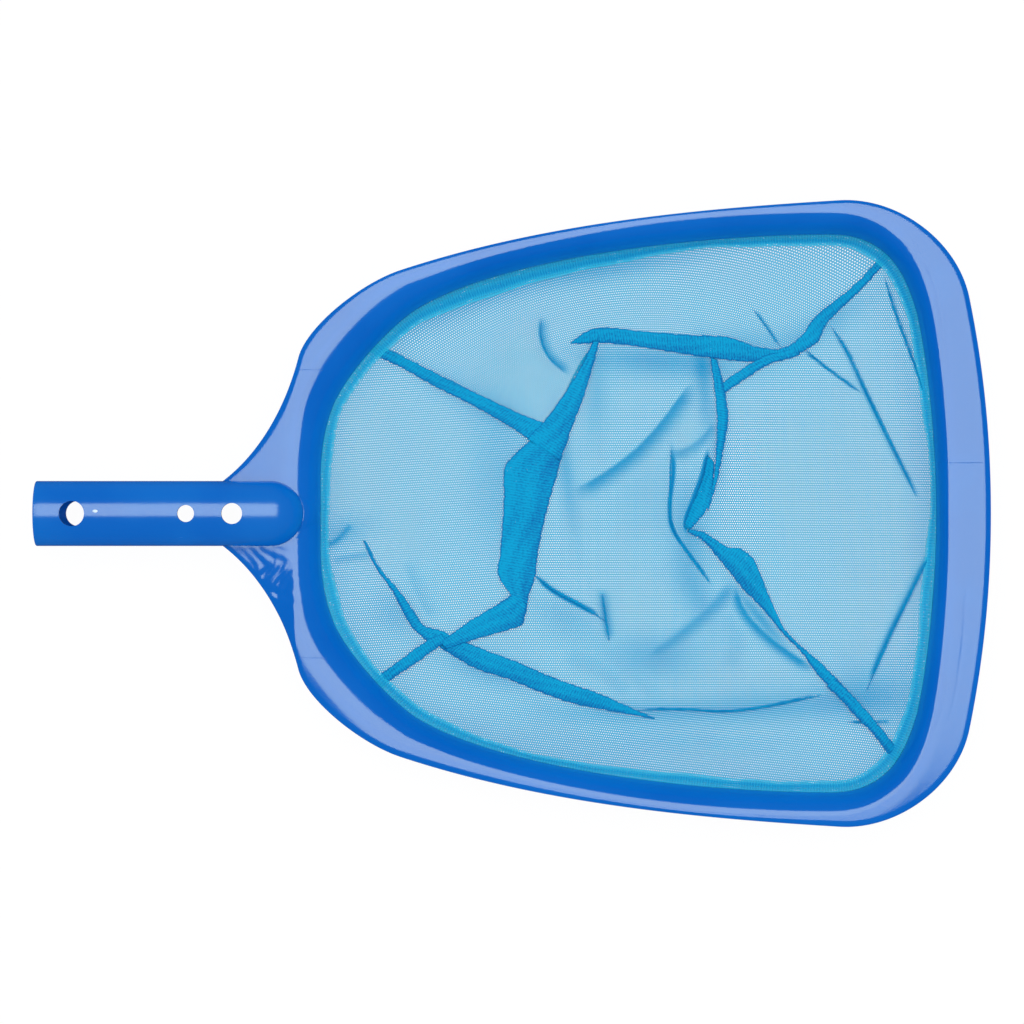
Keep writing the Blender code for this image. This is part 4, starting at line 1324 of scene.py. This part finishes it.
def flat_fold(name, pairs, depth, lift):
    """A folded band: a flattened tube of net between two edges, pinched at both ends.

    Round the tube, the place across is (1 - cos(a)) / 2, and the height is +-sin(a)^0.4 times half its
    thickness, so the top is nearly flat and the folds at both edges are round. Both edges wander by a sum of
    sines, as gathered net does. Close to the hem the band lies down, so that it runs in under the hem.
    """
    one = through([pair[0] for pair in pairs], 400)
    other = through([pair[1] for pair in pairs], 400)
    rows = max(24, int(np.linalg.norm(np.diff(one, axis=0), axis=1).sum() / BAND_ROW_STEP))
    one, other = evenly(one, rows), evenly(other, rows)
    run = running_length((one + other) / 2)[:, None]
    share = np.linspace(0.0, 1.0, rows)[:, None]
    fullness = np.clip(np.minimum(share, 1 - share) * rows / 3.0, 0.0, 1.0) ** 0.5
    span = other - one
    width = np.linalg.norm(span, axis=1)[:, None]
    slim = np.clip(width / SLIM_BAND, 0.0, 1.0)
    wander = EDGE_WANDER * fullness * slim * span / width
    one = one + wander * (np.sin(run * 1700) + 0.9 * np.sin(run * 670 + 1))
    other = other + wander * (np.sin(run * 1500 + 2) + 0.9 * np.sin(run * 830))
    angle = 2 * pi * np.arange(BAND_SIDES) / BAND_SIDES
    across = (1 - np.cos(angle)) / 2
    side = np.sign(np.sin(angle)) * np.abs(np.sin(angle)) ** 0.4
    plan = one[:, None] + (other - one)[:, None] * across[None, :, None]
    from_hem, _ = closest(plan.reshape(-1, 2), hem_edge)
    risen = np.clip(from_hem / RISE_REACH, 0.0, 1.0).reshape(plan.shape[:2])
    ribs = RIB_HEIGHT * np.sin(run * 2 * pi / RIB_STEP + 3 * across[None, :]) * np.sin(pi * across[None, :])
    thick = slim * fullness * (0.35 + 0.65 * risen) * (BAND_HALF_THICKNESS * side[None, :] + ribs)
    body = lift * risen * (0.35 + 0.65 * slim) + thick
    uv_across = np.append(across[: BAND_SIDES // 2 + 1], 2 - across[BAND_SIDES // 2 + 1 :])
    uv_across = np.append(uv_across, 2.0)
    uv = np.dstack([np.repeat(run, BAND_SIDES + 1, axis=1), width * uv_across[None, :]])
    # Both rolled edges of the band are painted darker: painted shade where the net turns under.
    rolled_edge_shade = np.clip(1 - np.minimum(across, 1 - across)[None, :] * width / EDGE_SHADE, 0.0, 1.0)
    rolled_edge_shade = rolled_edge_shade * (0.3 + 0.7 * slim)
    streaks = np.sin(2 * pi * 2.2 * across[None, :] + 1.3 * np.sin(run * 130) + 4 * run / 0.03)
    deep = 0.16 + 0.70 * rolled_edge_shade + depth * across[None, :] ** 2 + 0.10 * np.sin(run * 190) + 0.16 * streaks
    grid = np.dstack([plan, cloth_height(plan) + body])
    piece = surface(name, grid, around=True, uv=uv, values={"crowd_and_shade": np.clip(deep, 0.0, 1.0)})
    weld(piece, 2e-6)
    return piece


def crease_fold(points, width):
    """The two edges of a fine fold along a line: width * (0.12 + 0.88 * sin(pi * share)^0.4) apart."""
    path = through(points, 24)
    along = np.gradient(path, axis=0)
    along /= np.linalg.norm(along, axis=1)[:, None]
    aside = np.column_stack([-along[:, 1], along[:, 0]])
    half = (0.12 + 0.88 * np.sin(pi * np.linspace(0.0, 1.0, 24)) ** 0.4)[:, None] * width / 2
    return tuple(zip(path + aside * half, path - aside * half))


# Fine folds: the seam they run from, their line and their width.
FINE_FOLDS = {
    "fold_spur": ("corner_seam_far_left", ((0.1116, 0.0954), (0.1182, 0.0865), (0.1256, 0.0763)), 0.00045),
    "fold_prong": ("corner_seam_far_left", ((0.1336, 0.0786), (0.1485, 0.0660), (0.1620, 0.0562)), 0.00055),
    "fold_branch": ("corner_seam_far_left", ((0.1476, 0.0879), (0.1560, 0.0744), (0.1653, 0.0548),
                                             (0.1755, 0.0333), (0.1877, 0.0077)), 0.00085),
    "fold_upper_edge": ("corner_seam_far_left", ((0.1727, 0.1108), (0.1783, 0.0921), (0.1872, 0.0679),
                                                 (0.1951, 0.0436)), 0.00080),
    "fold_right_edge": ("corner_seam_far_right", ((0.1961, -0.0147), (0.1858, -0.0357), (0.1746, -0.0590),
                                                  (0.1643, -0.0833)), 0.00090),
    "fold_floor_line": ("corner_seam_far_right", ((0.0571, -0.0917), (0.0776, -0.0912), (0.0990, -0.0921),
                                                  (0.1182, -0.0898), (0.1438, -0.0847)), 0.00090),
    "fold_loop": ("corner_seam_near_right", ((0.0734, 0.0305), (0.0729, 0.0156), (0.0729, -0.0007),
                                             (0.0785, -0.0147), (0.0916, -0.0324)), 0.00085),
    "fold_step": ("corner_seam_near_right", ((0.0090, -0.0282), (0.0198, -0.0362), (0.0309, -0.0422),
                                             (0.0426, -0.0502)), 0.00110),
    "fold_stub": ("corner_seam_near_right", ((0.0412, -0.0376), (0.0426, -0.0469), (0.0445, -0.0595)),
                  0.00100),
    "fold_last": ("corner_seam_far_right", ((0.1550, -0.0973), (0.1606, -0.0973), (0.1671, -0.0982)),
                  0.00055),
    "fold_pinch": ("floor_seam_left", ((0.0128, 0.0902), (0.0128, 0.0818), (0.0160, 0.0735),
                                       (0.0226, 0.0665)), 0.00050),
}
FINE_DEPTH = 0.1
for name, (node, line, width) in FINE_FOLDS.items():
    BANDS[name] = (node, crease_fold(line, width), FINE_DEPTH)

fold_pieces = []
for order, (name, (node, pairs, depth)) in enumerate(BANDS.items()):
    piece = flat_fold(name, pairs, depth, BAND_LIFT + BAND_STEP * (order % 3))
    finish_piece(piece, folded_net, "seam_thread", node)
    fold_pieces.append((piece, node))

# %% Hem
HEM_COLUMNS = 16
HEM_TOP, HEM_FALL = 0.0037, 0.0009
HEM_TUCK = 0.0020
HEM_SHADOW_LINE = 0.62


def hem_tape():
    """The hem: the net turned over itself, out from under the rim's foot and down on to the edge of the bag.

    Its height is the greater of a gentle fall, HEM_TOP - HEM_FALL * share^2, and the bag under it. It is
    darkest at one set share of its width, a painted shadow band along the hem, and it is darker along the two
    long sides, most along the one nearer the light, as painted shade. Past that share the crowding falls
    below zero, so the hem thins out until only the bag's own layer is left.
    """
    share = np.linspace(0.0, 1.0, HEM_COLUMNS)
    loops = []
    for part in share:
        plan = offset_loop(foot_loop, HEM_TUCK - (HEM_TUCK + hem_widths) * part)
        height = np.maximum(cloth_height(plan) + HEM_FALL, HEM_TOP - HEM_FALL * part**2)
        loops.append(np.column_stack([plan, np.minimum(height, HEM_TOP + 0.0002)]))
    grid = np.stack(loops, axis=1)
    uv = np.dstack([np.repeat(foot_run[:, None], HEM_COLUMNS, axis=1),
                    np.repeat((share * (HEM_WIDTH + HEM_TUCK))[None, :], len(foot_run), axis=0)])
    # The darkest band across the hem is a painted shadow.
    past_shadow_line = share - HEM_SHADOW_LINE
    hem_shadow_and_thinning = 0.05 + 0.55 * np.exp(-((past_shadow_line / 0.20) ** 2))
    hem_shadow_and_thinning -= 1.15 * np.clip(past_shadow_line / (1.0 - HEM_SHADOW_LINE), 0.0, 1.0) ** 1.3
    # Painted shade: the hem is darker along the two long sides, most along the side nearer the light.
    long_side_shade = np.clip((np.abs(foot_loop[:, 1]) - 0.060) / 0.040, 0.0, 1.0)
    ripple = 0.34 * long_side_shade * (1 + (foot_loop[:, 1] > 0)) / 2
    ripple += 0.03 * np.sin(foot_run[:-1] * 70) + 0.03 * np.sin(foot_run[:-1] * 31 + 1.0) - 0.08
    crowd_and_shade = hem_shadow_and_thinning[None, :] + ripple[:, None] * (1 - share[None, :] ** 3)
    return surface("hem_tape", grid, along=True, uv=uv, values={"crowd_and_shade": crowd_and_shade}, facing="up")


hem = hem_tape()
finish_piece(hem, hem_net, "hem_tape", "hem_band")

# %% Stitches


def stitch_row(name, line, normal_lift, pitch, length, radius):
    """A row of stitches along a line: each is a short thread, high in the middle and sunk at both ends."""
    run = running_length(line)
    starts = np.arange(pitch / 2, run[-1] - length, pitch)
    share = np.linspace(0.0, 1.0, 5)
    place = starts[:, None] + share[None, :] * length
    middle = np.stack([np.interp(place, run, line[:, k]) for k in range(3)], axis=-1)
    middle[..., 2] += normal_lift + 0.00022 * np.sin(pi * share)[None, :]
    along = middle[:, -1] - middle[:, 0]
    along /= np.linalg.norm(along, axis=1)[:, None]
    side = np.column_stack([-along[:, 1], along[:, 0], np.zeros(len(along))])
    angle = 2 * pi * np.arange(6) / 6
    thick = radius * np.sqrt(np.sin(pi * (0.08 + 0.84 * share)))
    ring = (side[:, None, None] * np.cos(angle)[None, None, :, None]
            + np.array([0.0, 0.0, 1.0]) * np.sin(angle)[None, None, :, None])
    points = middle[:, :, None] + ring * thick[None, :, None, None]
    stitches, rows, columns = points.shape[:3]
    row, column = np.meshgrid(np.arange(rows - 1), np.arange(columns), indexing="ij")
    after = (column + 1) % columns
    quads = np.stack([row * columns + column, row * columns + after,
                      (row + 1) * columns + after, (row + 1) * columns + column], axis=-1).reshape(-1, 4)
    caps = np.array([np.arange(columns)[::-1], (rows - 1) * columns + np.arange(columns)])
    offset = (np.arange(stitches) * rows * columns)[:, None, None]
    faces = [tuple(face) for face in (quads[None] + offset).reshape(-1, 4).tolist()]
    faces += [tuple(face) for face in (caps[None] + offset).reshape(-1, columns).tolist()]
    mesh = bpy.data.meshes.new(name)
    mesh.from_pydata(points.reshape(-1, 3).tolist(), [], faces)
    shape = bmesh.new()
    shape.from_mesh(mesh)
    bmesh.ops.recalc_face_normals(shape, faces=shape.faces)
    shape.to_mesh(mesh)
    shape.free()
    mesh.shade_smooth()
    piece = bpy.data.objects.new(name, mesh)
    bpy.context.scene.collection.objects.link(piece)
    return piece


stitch_line = offset_loop(foot_loop, -0.0016)
stitch_line = np.vstack([stitch_line, stitch_line[:1]])
stitch_line = np.column_stack([stitch_line, np.full(len(stitch_line), HEM_TOP)])
hem_stitches = stitch_row("hem_stitches", stitch_line, 0.00003, 0.0031, 0.0024, 0.00014)
finish_piece(hem_stitches, thread, "hem_cord", "hem_band")

# %% Sort the folds by the wall or floor they lie on, and work out each panel's net area
CORNER_HOME = {
    "corner_seam_near_left": "left", "corner_seam_far_left": "left",
    "corner_seam_far_right": "right", "corner_seam_near_right": "right",
}
homes = {side: [] for side in panels}
for piece, node in fold_pieces:
    side = node.rsplit("_", 1)[1] if node.startswith("floor_seam") else CORNER_HOME[node]
    homes[side].append(piece)
for label, piece in panels.items():
    round(cloth_area(piece), 5)
